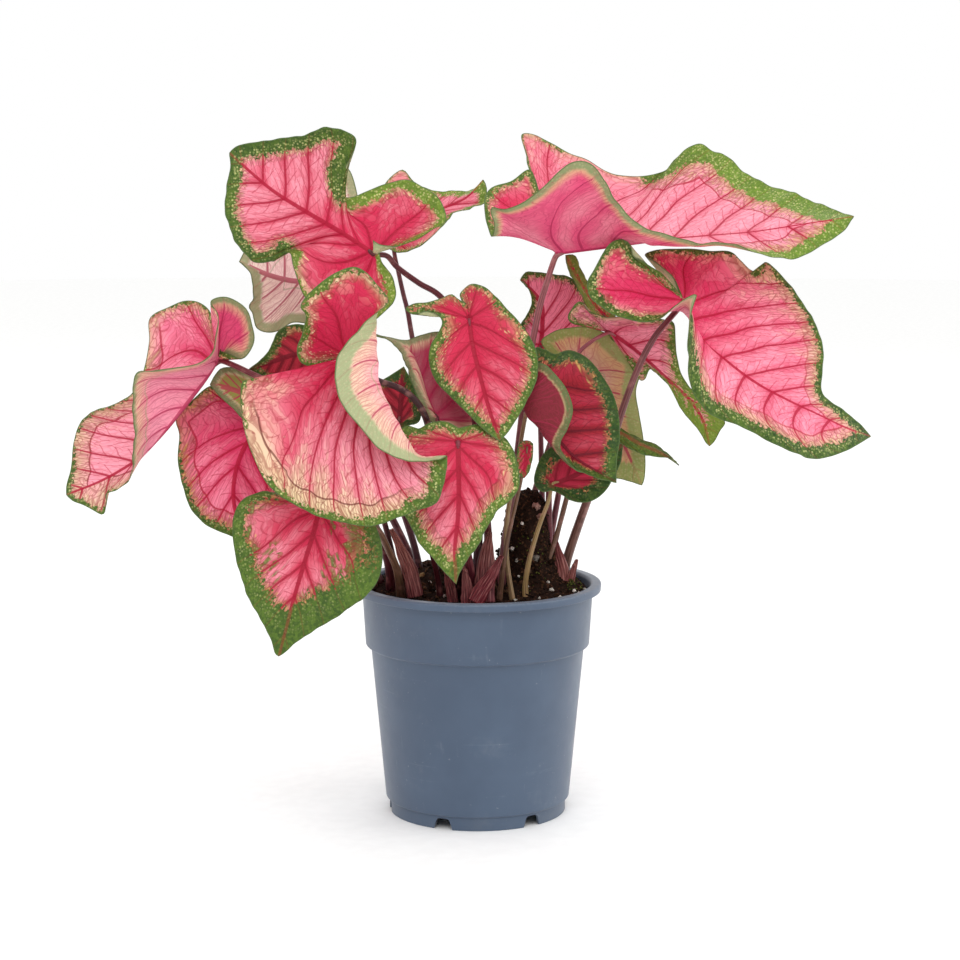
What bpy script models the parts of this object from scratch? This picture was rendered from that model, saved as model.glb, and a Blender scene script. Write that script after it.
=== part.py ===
import math

import bmesh
import bpy
from mathutils import Vector

# A potted caladium: a nursery pot, its soil, and leaves on stalks that stand in the soil.
# Lengths are in metres unless a name says mm. Z is up, the pot stands on Z = 0, the front is -Y.

MM = 0.001

# pot
POT_HEIGHT = 112.7 * MM
RIM_RADIUS = 60.0 * MM
RIM_LIP = 3.8 * MM            # height of the rolled lip
BAND_TOP_RADIUS = 55.8 * MM
BAND_LOW_RADIUS = 54.2 * MM
BAND_LOW_Z = 82.5 * MM
BODY_TOP_RADIUS = 51.7 * MM
BODY_LOW_RADIUS = 44.7 * MM
FOOT_RADIUS = 42.9 * MM
FOOT_HEIGHT = 6.5 * MM
WALL = 1.4 * MM
FLOOR_Z = 8.6 * MM            # underside of the pot's floor
POT_SIDES = 40
NOTCH_ANGLES = [math.radians(-22.6 + 60.0 * k) for k in range(6)]
NOTCH_WIDTH_LOW = 9.5 * MM
NOTCH_WIDTH_TOP = 6.0 * MM
NOTCH_HEIGHT = 5.4 * MM
DRAIN_RADIUS = 4.0 * MM
DRAIN_RING = 27.0 * MM

# soil
SOIL_GAP = 0.3 * MM           # clearance between the soil and the pot
SOIL_FRONT_Z = 103.2 * MM     # soil level at the front wall
SOIL_RISE = 0.105             # slope of the soil towards the back
PLUG_AT = (23.5 * MM, 13.0 * MM)
PLUG_RADIUS = 11.5 * MM
PLUG_HEIGHT = 44.0 * MM
STEM_CLEAR = 0.25 * MM        # clearance round a stalk in its hole

# blades
BLADE_THICK = 0.8 * MM
STALK_GAP = 0.5 * MM          # clearance between a blade and its stalk

# Leaf points are given as (right, up, back) in mm. The first two are where the point is seen on the upright
# plane through the pot's axis from the viewpoint below, the third is how far it lies behind that plane.
EYE_RIGHT = 1.2
EYE_FRONT = 1200.0
EYE_UP = 338.0


def placed(point):
    """The world position of a (right, up, back) point."""
    right, up, back = point
    reach = 1.0 + back / EYE_FRONT
    x = EYE_RIGHT + (right - EYE_RIGHT) * reach
    z = EYE_UP + (up - EYE_UP) * reach
    return Vector((x, back, z)) * MM


# Each leaf: hub is where the stalk joins, rib runs from the hub to the tip, and the two margins run from the
# sinus between the back lobes to the tip. left and right are as seen on the upper face with the tip down.
# cup lifts the middle of each half, along (right, up, back), for a half 60 mm wide. A half that folds has its
# own row of points midway between rib and margin.
LEAVES = {
    "upper_left": {
        "hub": (-49, 271, -12), "sinus": (-47, 273.5, -11),
        "rib": [(-64, 280.5, -15), (-80, 290, -18), (-96, 300, -20), (-108, 310, -20), (-117.3, 318.5, -18)],
        "left": [(-50, 277.5, -12), (-45, 275, -12), (-34, 275.5, -12), (-24, 280, -10), (-16, 286, -6),
                 (-15.5, 291, -4), (-19, 298, -3), (-26, 302.5, -2), (-33.5, 306, -2), (-42, 304.5, -4),
                 (-52, 300.5, -6), (-60, 297.5, -8), (-65, 299, -10), (-65, 305, -14), (-62.5, 312, -20),
                 (-59, 318.5, -25), (-57.5, 323.5, -28), (-60.5, 328, -28), (-66.5, 330, -28), (-74, 329.8, -28),
                 (-84, 326.3, -26), (-94, 325.2, -22), (-104, 323.5, -20), (-113, 322, -18)],
        "right": [(-45.5, 267, -12), (-42, 262, -14), (-39, 255, -16), (-39, 250, -18), (-42, 245, -20),
                  (-50, 239, -20), (-62, 238, -20), (-74, 243, -22), (-82, 250, -26), (-85.5, 257, -28),
                  (-88, 265, -28), (-89, 271, -24), (-93, 271.5, -18), (-98, 267.5, -22), (-104, 266.5, -26),
                  (-109, 269, -28), (-114, 275, -28), (-118, 284, -26), (-119.8, 293, -24), (-118.8, 303, -22),
                  (-117, 311, -20)],
        "cup": (0, 0, 7), "hub_share": 0.42,
    },
    "behind_left": {
        "hub": (-78, 258, 38), "sinus": (-70, 262, 38),
        "rib": [(-88, 258, 36), (-100, 261, 34), (-113.5, 267, 34)],
        "left": [(-64, 250, 40), (-68, 241, 40), (-78, 237.5, 38), (-88, 238, 36), (-94, 234.5, 34),
                 (-101, 233.3, 32), (-106, 236, 32), (-107, 242, 32), (-109, 245.5, 32), (-107.2, 250, 32),
                 (-107, 256, 32), (-108.5, 262, 32)],
        "right": [(-61, 275, 44), (-56.5, 290, 48), (-57.5, 302, 50), (-61.5, 311.5, 50), (-68, 308, 48),
                  (-80, 300, 46), (-95, 290, 42), (-107, 278, 38)],
        "cup": (0, 0, 4), "hub_share": 0.35,
    },
    "top_centre": {
        "hub": (-40, 279, 50), "sinus": (-44, 281, 50),
        "rib": [(-28, 287, 50), (-14, 293.5, 50), (-5, 298, 50), (2.5, 306, 50)],
        "left": [(-42, 273, 46), (-32, 272, 40), (-22, 279, 36), (-16, 285, 36), (-10, 290.5, 36), (-1, 293, 38),
                 (3.5, 295, 42), (4.5, 302, 46)],
        "right": [(-46, 290, 56), (-45, 302, 62), (-36, 310.5, 66), (-30, 305, 64), (-22, 301, 62),
                  (-12, 300.5, 60), (-2, 301.3, 56)],
        "cup": (0, 0, 5), "hub_share": 0.35,
    },
    "front": {
        "hub": (-62, 222, -70), "sinus": (-69, 217.3, -72),
        "rib": [(-59, 208, -72), (-54, 193, -74), (-46, 180, -76), (-33, 173, -78), (-14.5, 173.5, -80)],
        "right": [(-78, 216.5, -76), (-84.5, 219, -78), (-86, 225, -80), (-83.5, 234, -82), (-82.3, 241, -82),
                 (-84.5, 246, -82), (-79, 253, -80), (-70, 260.5, -78), (-60, 264.6, -76), (-53.5, 262.5, -76),
                 (-47.5, 256, -77), (-42.2, 249, -80), (-44.5, 245, -84), (-50, 240.5, -90), (-57.5, 234, -95),
                 (-64, 227, -98), (-67.5, 219, -98), (-68.3, 210, -98), (-66, 201, -98), (-61, 193, -98),
                 (-55, 186, -98), (-48, 178, -97), (-40, 173.2, -95), (-31, 171.2, -92), (-22, 171.2, -87)],
        "right_mid": [(-71, 220, -72), (-73.5, 224, -74), (-73, 232, -75), (-73, 240, -76), (-67, 248, -76),
                     (-61, 247, -75), (-56, 243, -75), (-52, 240, -76), (-49.5, 235, -78), (-48.5, 228, -81),
                     (-48.2, 220, -84), (-48, 211, -86), (-45, 203, -87), (-41.5, 196, -87), (-37.5, 188, -87),
                     (-33, 180.5, -86), (-28, 173.5, -84)],
        "left": [(-75, 214, -68), (-86, 215.2, -66), (-93, 212, -67), (-95, 208, -74), (-101, 209.2, -80),
                  (-107, 211, -82), (-112.3, 210.5, -84), (-113.7, 203, -86), (-113, 193, -86), (-110.5, 181, -88),
                  (-107, 171.5, -88), (-102, 161.5, -88), (-94, 153.8, -88), (-84, 147.7, -88), (-73, 143.2, -88),
                  (-60, 140.3, -88), (-49, 139.8, -86), (-39, 143.7, -84), (-28, 147.5, -82), (-20.5, 150.5, -82),
                  (-16.8, 158, -81), (-15, 166, -80)],
        "cup": (0, 0, -6), "hub_share": 0.36,
    },
    "far_left": {
        "hub": (-124.5, 220, -30), "sinus": (-122.8, 224.5, -31),
        "rib": [(-131, 210, -32), (-141, 197, -34), (-151, 185, -34), (-161, 174.5, -33), (-170, 168, -32),
                (-183, 161, -33), (-198.3, 155, -35)],
        "right": [(-118, 222.8, -34), (-112.5, 221, -37), (-108, 226, -38), (-106.6, 234, -38), (-109, 242.5, -37),
                 (-113.5, 247.5, -36), (-120, 250, -38), (-127.5, 248, -42), (-124, 241, -47),
                 (-125.2, 232, -50), (-127, 224, -52), (-134, 218.7, -52), (-145, 216.6, -52), (-156, 215.2, -52),
                 (-163, 213.3, -51), (-165.3, 207, -50), (-165.2, 196, -49), (-165, 183, -48), (-166, 171, -45),
                 (-168.3, 161, -41), (-174, 157.5, -38), (-179.5, 155, -36), (-178.5, 150, -36),
                 (-181, 145.3, -36), (-188, 149, -36), (-195, 151.8, -36)],
        "left": [(-125, 236, -20), (-130, 246, -14), (-138, 248.6, -10), (-148, 245.3, -8), (-156.5, 240, -8),
                  (-157, 229, -12), (-160, 215, -16), (-166, 204, -18), (-174, 199, -18), (-183, 196, -18),
                  (-190, 191, -21), (-194, 181, -24), (-195.7, 168, -29), (-198, 160, -33)],
        "cup": (0, 0, 5), "hub_share": 0.34,
    },
    "lower_left": {
        "hub": (-103, 190, -14), "sinus": (-98, 196, -14),
        "rib": [(-112, 178, -18), (-117, 163, -20), (-117, 148, -20), (-111, 131, -18)],
        "right": [(-94, 190, -12), (-90, 178, -14), (-92, 162, -16), (-96, 148, -16), (-101, 138, -16)],
        "left": [(-108, 205, -10), (-120, 208.5, -10), (-128.5, 207.5, -12), (-135, 202.5, -14),
                  (-141, 197, -16), (-145, 191.2, -18), (-143.5, 184, -20), (-144.3, 174, -22), (-143, 164, -23),
                  (-141, 155, -24), (-137.5, 147, -24), (-131, 140, -23), (-122, 136, -22)],
        "cup": (0, 0, 5), "hub_share": 0.4,
    },
    "small_olive": {
        "hub": (-103, 199, -24), "sinus": (-99, 202, -24),
        "rib": [(-112, 204, -25), (-121, 207, -26), (-128.3, 208.3, -27)],
        "right": [(-100, 208, -22), (-108, 213.5, -22), (-116, 216.5, -23), (-122.5, 216.3, -24),
                 (-126, 212.5, -26)],
        "left": [(-101, 190, -24), (-107, 186.5, -25), (-113, 192, -26), (-118, 197.5, -27), (-123.5, 202.5, -27)],
        "cup": (0, 0, 2), "hub_share": 0.4,
    },
    "left_centre": {
        "hub": (-82, 224, -10), "sinus": (-77, 226, -10),
        "rib": [(-90, 222, -11), (-99, 219, -12), (-109.3, 215.7, -14)],
        "right": [(-76, 214, -8), (-84, 207, -8), (-94, 206.5, -9), (-102, 210.5, -11)],
        "left": [(-74, 232, -10), (-82, 237, -10), (-90.5, 236.7, -10), (-96, 233, -11), (-99, 226, -12),
                  (-103.5, 220.5, -13)],
        "cup": (0, 0, 4), "hub_share": 0.38,
    },
    "lower_front": {
        "hub": (-76, 150, -63), "sinus": (-75, 155.5, -60),
        "rib": [(-79, 137, -67), (-83.5, 122.5, -69), (-88.5, 106, -71), (-92.5, 91, -72), (-96.7, 75.3, -72)],
        "left": [(-85, 157.5, -56), (-96, 156, -56), (-107, 156, -58), (-113.5, 152.5, -60), (-117.3, 146, -62),
                 (-118.3, 136, -64), (-116.6, 124, -66), (-114, 112.5, -68), (-109, 100, -70), (-103.7, 91, -71),
                 (-100, 82, -72), (-98.6, 77, -72)],
        "right": [(-65, 156, -58), (-54, 150, -60), (-49, 140, -64), (-46.2, 130, -66), (-46.3, 120, -67),
                  (-49, 111.5, -68), (-55, 104.7, -69), (-64, 98, -70), (-75, 90.8, -71), (-86, 84, -72),
                  (-93.5, 77.5, -72)],
        "cup": (0, 0, -5), "hub_share": 0.42,
    },
    "front_centre": {
        "hub": (-9.3, 181, -56), "sinus": (-9, 187.5, -54),
        "rib": [(-9.2, 170, -60), (-9, 156, -63), (-9.6, 142, -66), (-11, 128, -68), (-10.3, 111, -70)],
        "right": [(0, 189, -50), (8, 186, -50), (14.3, 181.5, -51), (18, 174, -52), (20.2, 166, -54),
                 (20, 158, -55), (15.3, 151.5, -57), (9.5, 147, -59), (4.5, 138.5, -62), (-0.5, 129, -65),
                 (-5, 123, -67), (-8.5, 117, -69)],
        "left": [(-15, 190.5, -52), (-22, 190, -52), (-28, 187.6, -54), (-34, 188.5, -54), (-39, 184, -56),
                  (-42, 174, -58), (-41, 162, -60), (-38, 151, -62), (-34, 143, -63), (-28.5, 132, -65),
                  (-21.5, 123.5, -67), (-14.5, 115.5, -69)],
        "cup": (0, 0, -4), "hub_share": 0.42,
    },
    "upper_centre": {
        "hub": (-4, 240, -36), "sinus": (-5.5, 247, -35),
        "rib": [(-2.5, 228, -40), (0.8, 214, -44), (4.5, 200, -48), (8, 189, -52), (10.8, 181.3, -56)],
        "right": [(-8.5, 250.5, -31), (-7, 254, -29), (-2, 256.5, -28), (4, 254.5, -30), (9, 250.5, -33),
                 (14, 244.7, -36), (20, 237.8, -39), (25.5, 230, -42), (28.5, 223, -43), (29, 215, -44),
                 (27, 207, -45), (23.5, 200, -47), (19, 192, -50), (14.5, 185, -54)],
        "left": [(-10, 249.8, -37), (-12.5, 251.7, -38), (-18, 249.5, -39), (-24, 247.7, -41),
                  (-31, 246.8, -43), (-34.5, 244.7, -44), (-30.5, 241.8, -44), (-24.5, 243.6, -43),
                  (-19, 241.5, -43), (-17, 238, -43), (-19, 233, -44), (-22.5, 227, -45), (-23.2, 219, -46),
                  (-20, 210, -48), (-13, 202.5, -50), (-5, 194.5, -52), (2.5, 187, -54), (7.5, 183, -56)],
        "cup": (0, 0, -4), "hub_share": 0.4,
    },
    "centre_back": {
        "hub": (-20, 191.5, -36), "sinus": (-18, 189, -35),
        "rib": [(-24, 200, -36), (-28, 209, -36), (-32, 219, -36), (-37, 227, -36), (-48.5, 232, -36)],
        "left": [(-24, 191.5, -38), (-28, 200.5, -40), (-31.5, 209.5, -41), (-34, 217, -41), (-36.5, 223, -41),
                 (-40, 227.5, -40), (-44, 230.3, -38)],
        "left_mid": [(-20, 193, -36.5), (-23, 198, -39), (-27, 207, -41), (-29, 217, -42), (-33, 225, -41),
                     (-39, 229, -39)],
        "right": [(-10, 184, -30), (2, 188, -26), (6, 200, -24), (3, 214, -22), (-4, 226, -22), (-13, 232.5, -24),
                  (-20, 233.8, -26), (-28, 231.8, -28), (-34, 229.8, -31), (-41, 230.8, -34)],
        "cup": (0, 0, 4), "hub_share": 0.35,
    },
    "small_dark": {
        "hub": (-37.5, 189.5, -46), "sinus": (-38, 187, -46),
        "rib": [(-37, 197, -44), (-36, 207, -43), (-35.5, 217, -43)],
        "left": [(-33, 188.5, -46), (-28, 190.5, -45), (-27, 196, -44), (-29, 203, -44), (-32, 211, -44)],
        "right": [(-50, 186, -50), (-57, 195, -50), (-56, 206, -48), (-46, 210.5, -45), (-40, 214, -42)],
        "cup": (0, 0, 2), "hub_share": 0.4,
    },
    "dark_folded": {
        "hub": (27, 206, -28), "sinus": (25, 214, -26),
        "rib": [(30, 195, -29), (37, 184, -30), (46, 173.5, -31), (56, 167, -33), (67, 161, -36)],
        "right": [(27, 225.5, -16), (32, 225.3, -17), (37, 223, -19), (43, 225, -18), (49, 223.3, -18),
                 (55, 218.8, -20), (60.5, 211.5, -22), (65.5, 202.5, -24), (68, 192, -26), (68.3, 181, -28),
                 (67, 171, -31)],
        "left": [(23, 216.5, -32), (27, 219, -38), (33, 217.5, -42), (39, 211.5, -43), (43.5, 204.5, -44),
                  (45.8, 196, -44), (43.5, 187.5, -43), (40, 180.5, -42), (41, 175, -41), (45.5, 169, -40),
                  (52, 165, -39), (60, 162.5, -38)],
        "left_mid": [(24, 212, -31), (22.5, 208, -34), (22, 203, -36), (22.7, 197, -37), (26, 191.5, -38),
                      (30, 187, -38), (34, 181, -38), (38, 176, -37), (45, 170, -37), (55, 165, -37)],
        "cup": (0, 0, 3), "hub_share": 0.38,
    },
    "small_lower": {
        "hub": (36, 160, -14), "sinus": (35.2, 157, -14),
        "rib": [(44, 163, -14), (55, 169, -14), (70, 179.5, -13)],
        "left": [(39, 155.8, -15), (45, 152.2, -16), (51, 151, -17), (57, 153, -17), (62, 157.3, -16),
                 (65.5, 163, -15), (69, 171, -14)],
        "right": [(31, 156.3, -14), (27.3, 160.5, -13), (28, 167, -12), (31, 174, -11), (36.5, 178.7, -11),
                  (46, 182, -11), (58, 184, -12)],
        "cup": (0, 0, 2), "hub_share": 0.4,
    },
    "upper_right": {
        "hub": (38.5, 271.3, -4), "sinus": (29, 299, 6),
        "rib": [(60, 274, -6), (85, 277.2, -8), (108, 279.3, -8), (130, 281.2, -8), (152, 284.5, -7),
                (166, 286.7, -6), (178.6, 288.7, -5)],
        "left": [(25, 310.5, 9), (16, 305.5, 7), (6, 301.5, 3), (3, 295, -5), (4.2, 287, -12), (6.6, 279, -19),
                 (8, 285, -26), (6.5, 292, -29), (13, 291.3, -31), (22, 294.7, -33), (31, 302, -35),
                 (39, 310, -37), (46, 314, -38), (53.5, 313, -38), (60.5, 305.5, -37), (65, 297, -35),
                 (70.5, 290, -34), (78, 284.3, -33), (90, 279.7, -32), (103, 276.5, -31), (116, 276, -29),
                 (128, 273.3, -27), (140, 269.4, -24), (150, 268.3, -20), (162, 273.7, -15), (173, 281, -10)],
        "left_mid": [(31, 291, 3), (27, 290, 1), (22, 287, -2), (21, 283, -7), (22, 278, -12),
                     (22, 280, -16), (25, 282, -18), (30, 284, -20), (36, 287, -22), (43, 290, -23),
                     (57, 291, -25), (65, 286, -25), (72, 281, -25), (80.5, 276, -23), (91, 274.6, -22),
                     (102.5, 274.6, -21), (114, 274.8, -20), (126, 274.5, -19), (137, 273.2, -17),
                     (149, 274, -15), (161, 278, -12), (171, 283, -8)],
        "right": [(25, 311.5, 12), (22.3, 320, 17), (20.6, 327, 21), (28, 326.6, 26), (36, 322.5, 30),
                  (44, 318, 33), (52, 315, 35), (60, 310, 37), (67, 307.7, 38), (79, 307.3, 39), (88, 309.8, 41),
                  (93.5, 316, 43), (99, 320, 44), (105, 322.8, 44), (111, 319.7, 42), (119, 316, 38),
                  (127, 309, 32), (137, 303.7, 26), (148, 300.3, 19), (160, 295.3, 10), (172, 290.7, 0)],
        "cup": (0, 0, 6), "hub_share": 0.3,
    },
    "right": {
        "hub": (98.5, 248.5, -6), "sinus": (96.5, 251.5, -4),
        "rib": [(106, 231, -12), (119, 219.5, -14), (134, 208.7, -14), (149, 200.7, -13), (164, 193.7, -8),
                (177, 187.5, -1), (189.2, 183.3, 8)],
        "left": [(92, 257, -6), (88, 261.5, -8), (84, 264, -10), (79, 267, -12), (74, 269.7, -14),
                 (72.7, 274, -15), (69, 277.6, -16), (63.5, 276, -18), (59.5, 271, -19), (55.5, 263.5, -21),
                 (52, 257, -23), (53.5, 250, -26), (58.5, 246.5, -28), (64, 242.7, -30), (72, 239.7, -31),
                 (80, 238.5, -32), (87.5, 240.3, -33), (94, 246, -34), (100, 250.3, -35), (104.5, 251.6, -36),
                 (103, 246, -37), (101.5, 239, -38), (100.6, 228, -38), (100.7, 216, -38), (103.7, 204, -37),
                 (111, 194.5, -36), (124, 189, -34), (139, 181.7, -31), (154, 174.5, -26), (165, 172.5, -19),
                 (178, 176.7, -7)],
        "left_mid": [(95, 253.5, -5), (91, 256.5, -7), (86, 260, -9), (80, 260.5, -11), (77, 256.5, -14),
                     (75.5, 251, -17), (79, 247, -20), (85, 244, -22), (90.5, 243, -23), (96, 245, -24),
                     (101, 244, -26), (103, 237, -28), (105.5, 228, -28), (108.5, 219, -29), (113, 210.5, -29),
                     (119.5, 203, -28), (129, 198, -27), (139, 193, -25), (148.5, 188.3, -22),
                     (158, 184.3, -18), (169, 181.3, -11), (179.5, 181.8, -2)],
        "right": [(93, 260, 0), (86, 266, 4), (80, 271, 8), (88, 273, 14), (98, 273, 18), (110, 272.5, 20),
                  (120, 272, 20), (125, 268, 19), (130, 263.3, 17), (133.5, 263, 17), (136.8, 267, 18),
                  (141.5, 264, 17), (148, 257, 15), (154.5, 248.5, 13), (160, 240, 10), (164, 231, 6),
                  (165.5, 222, 3), (165, 212, 0), (164.5, 206, -1), (168.5, 201, 0), (176, 195.7, 2),
                  (183, 190, 5)],
        "cup": (0, 0, 4), "hub_share": 0.36,
    },
    "behind_stem": {
        "hub": (30, 226, 42), "sinus": (32, 219, 42),
        "rib": [(31, 236, 41), (30, 248, 40), (20.4, 258.3, 38)],
        "right": [(20, 214, 44), (16, 224, 44), (20, 236, 42), (25.5, 246, 40), (24.5, 254, 39)],
        "left": [(44, 214, 44), (55, 222, 46), (57, 235, 47), (54, 247, 46), (49, 255.5, 44), (44, 259.7, 42),
                  (36, 261.3, 40), (29, 262, 39), (23, 262.3, 38)],
        "cup": (0, 0, 4), "hub_share": 0.4,
    },
    "slanting": {
        "hub": (62, 240, 18), "sinus": (64, 238, 18),
        "rib": [(56, 246, 18), (51, 254, 18), (46, 262, 18), (42, 270.3, 18)],
        "left": [(66, 242, 22), (62, 249, 22), (54, 256, 21), (49.5, 263, 20), (46.5, 270, 19)],
        "right": [(58, 237, 12), (53.5, 243, 12), (50, 250, 13), (46.5, 257, 14), (43, 263.5, 16)],
        "cup": (0, 0, 1), "hub_share": 0.3,
    },
    "right_underside": {
        "hub": (48, 213, 26), "sinus": (41, 217, 26),
        "rib": [(57, 204, 24), (65, 191, 22), (72, 176, 20), (79.3, 159.6, 18)],
        "left": [(34, 223, 26), (30.5, 229.5, 27), (37, 234, 27), (45, 235.8, 27), (53, 236, 26),
                 (62, 232.7, 24), (70, 227, 22), (77, 221.5, 20), (78, 214, 19), (76, 205, 18), (77.5, 195, 18),
                 (79.5, 184, 18), (80.8, 173, 18), (80.6, 164, 18)],
        "right": [(33, 214, 28), (28, 204, 30), (32, 192, 30), (42, 181, 28), (53, 171.5, 25), (62, 165, 22),
                  (70, 162.3, 20)],
        "cup": (0, 0, -4), "hub_share": 0.4,
    },
    "long_pink": {
        "hub": (63, 233.4, 9.3), "sinus": (59, 238, 11),
        "rib": [(67, 231, 9), (74, 225.7, 10), (81, 219.8, 11), (88.5, 213, 12), (96, 206.5, 13),
                (103, 199.5, 14), (108.5, 190, 14), (111.5, 178.5, 14)],
        "right": [(51, 236.2, 6.5), (44, 238.5, 2), (43.5, 243, 0), (48.5, 247.7, -2), (52.5, 244, -3),
                 (60, 241, -3), (68, 241, -2), (77, 242, 0), (86, 240.5, 3), (93.5, 238, 5), (94.7, 228, 7),
                 (97, 215, 9), (101, 208, 10), (108, 202, 11), (114, 196.5, 12), (119, 190.5, 12),
                 (116.5, 186, 13), (114, 181, 14)],
        "left": [(64, 230, 13), (70, 225.5, 15), (76.5, 212, 17), (80, 210.7, 17), (83, 216, 16),
                  (89, 210.5, 16), (94, 205.5, 17), (96, 199.5, 17), (100.5, 192.7, 17), (106, 186.5, 16),
                  (109.5, 180.5, 15)],
        "cup": (0, 0, 3), "hub_share": 0.3,
    },
    "edge_on": {
        "hub": (53, 193, 6), "sinus": (50, 194.5, 6),
        "rib": [(66, 187, 6), (78, 180, 7), (88, 175.7, 9), (97.3, 169.5, 11)],
        "left": [(47, 188, 4), (55, 182.5, 3), (65, 182.3, 4), (72, 178, 5), (79, 174.7, 6), (86, 173.3, 8),
                 (92.5, 172.7, 10)],
        "right": [(47, 200, 8), (56, 199, 9), (66, 190, 9.5), (74, 184, 10), (81, 181, 11), (88, 178, 12)],
        "cup": (0, 0, 1), "hub_share": 0.4,
    },
    "small_green": {
        "hub": (24, 178.5, -30), "sinus": (23.6, 181.5, -30),
        "rib": [(23.6, 173, -31), (22.6, 163, -32)],
        "left": [(20, 180, -32), (18.5, 172, -33), (19.8, 165, -33)],
        "right": [(26.6, 180, -28.6), (26.4, 173, -28.8), (25, 166.5, -30)],
        "cup": (0, 0, 1), "hub_share": 0.4,
    },
    "back_right": {
        "hub": (46, 226, 74), "sinus": (40, 228, 76),
        "rib": [(54, 220, 80), (62, 208, 88), (68, 192, 94)],
        "left": [(40, 236, 72), (50, 238, 70), (62, 232, 72), (70, 222, 80), (73, 208, 88)],
        "right": [(32, 232, 78), (27, 222, 82), (32, 208, 90), (44, 196, 97), (56, 190, 98)],
        "cup": (0, 0, -6), "hub_share": 0.4,
    },
    "back_left": {
        "hub": (-82, 224, 66), "sinus": (-76, 228, 68),
        "rib": [(-88, 214, 72), (-91, 202, 78), (-90, 186, 80)],
        "left": [(-66, 232, 72), (-58, 224, 76), (-60, 208, 80), (-70, 194, 84), (-81, 187, 83)],
        "right": [(-80, 236, 64), (-92, 236, 62), (-99, 226, 64), (-101, 210, 70), (-97, 196, 76)],
        "cup": (0, 0, -6), "hub_share": 0.4,
    },
    "back_centre": {
        "hub": (2, 224, 56), "sinus": (2, 229, 58),
        "rib": [(4, 214, 62), (5, 200, 68), (3, 184, 70)],
        "right": [(-6, 234, 54), (-15, 228, 56), (-18, 214, 62), (-13, 198, 68), (-5, 188, 70)],
        "left": [(9, 236, 54), (19, 230, 56), (24, 216, 62), (20, 200, 68), (11, 188, 70)],
        "cup": (0, 0, -5), "hub_share": 0.4,
    },
}

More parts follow.
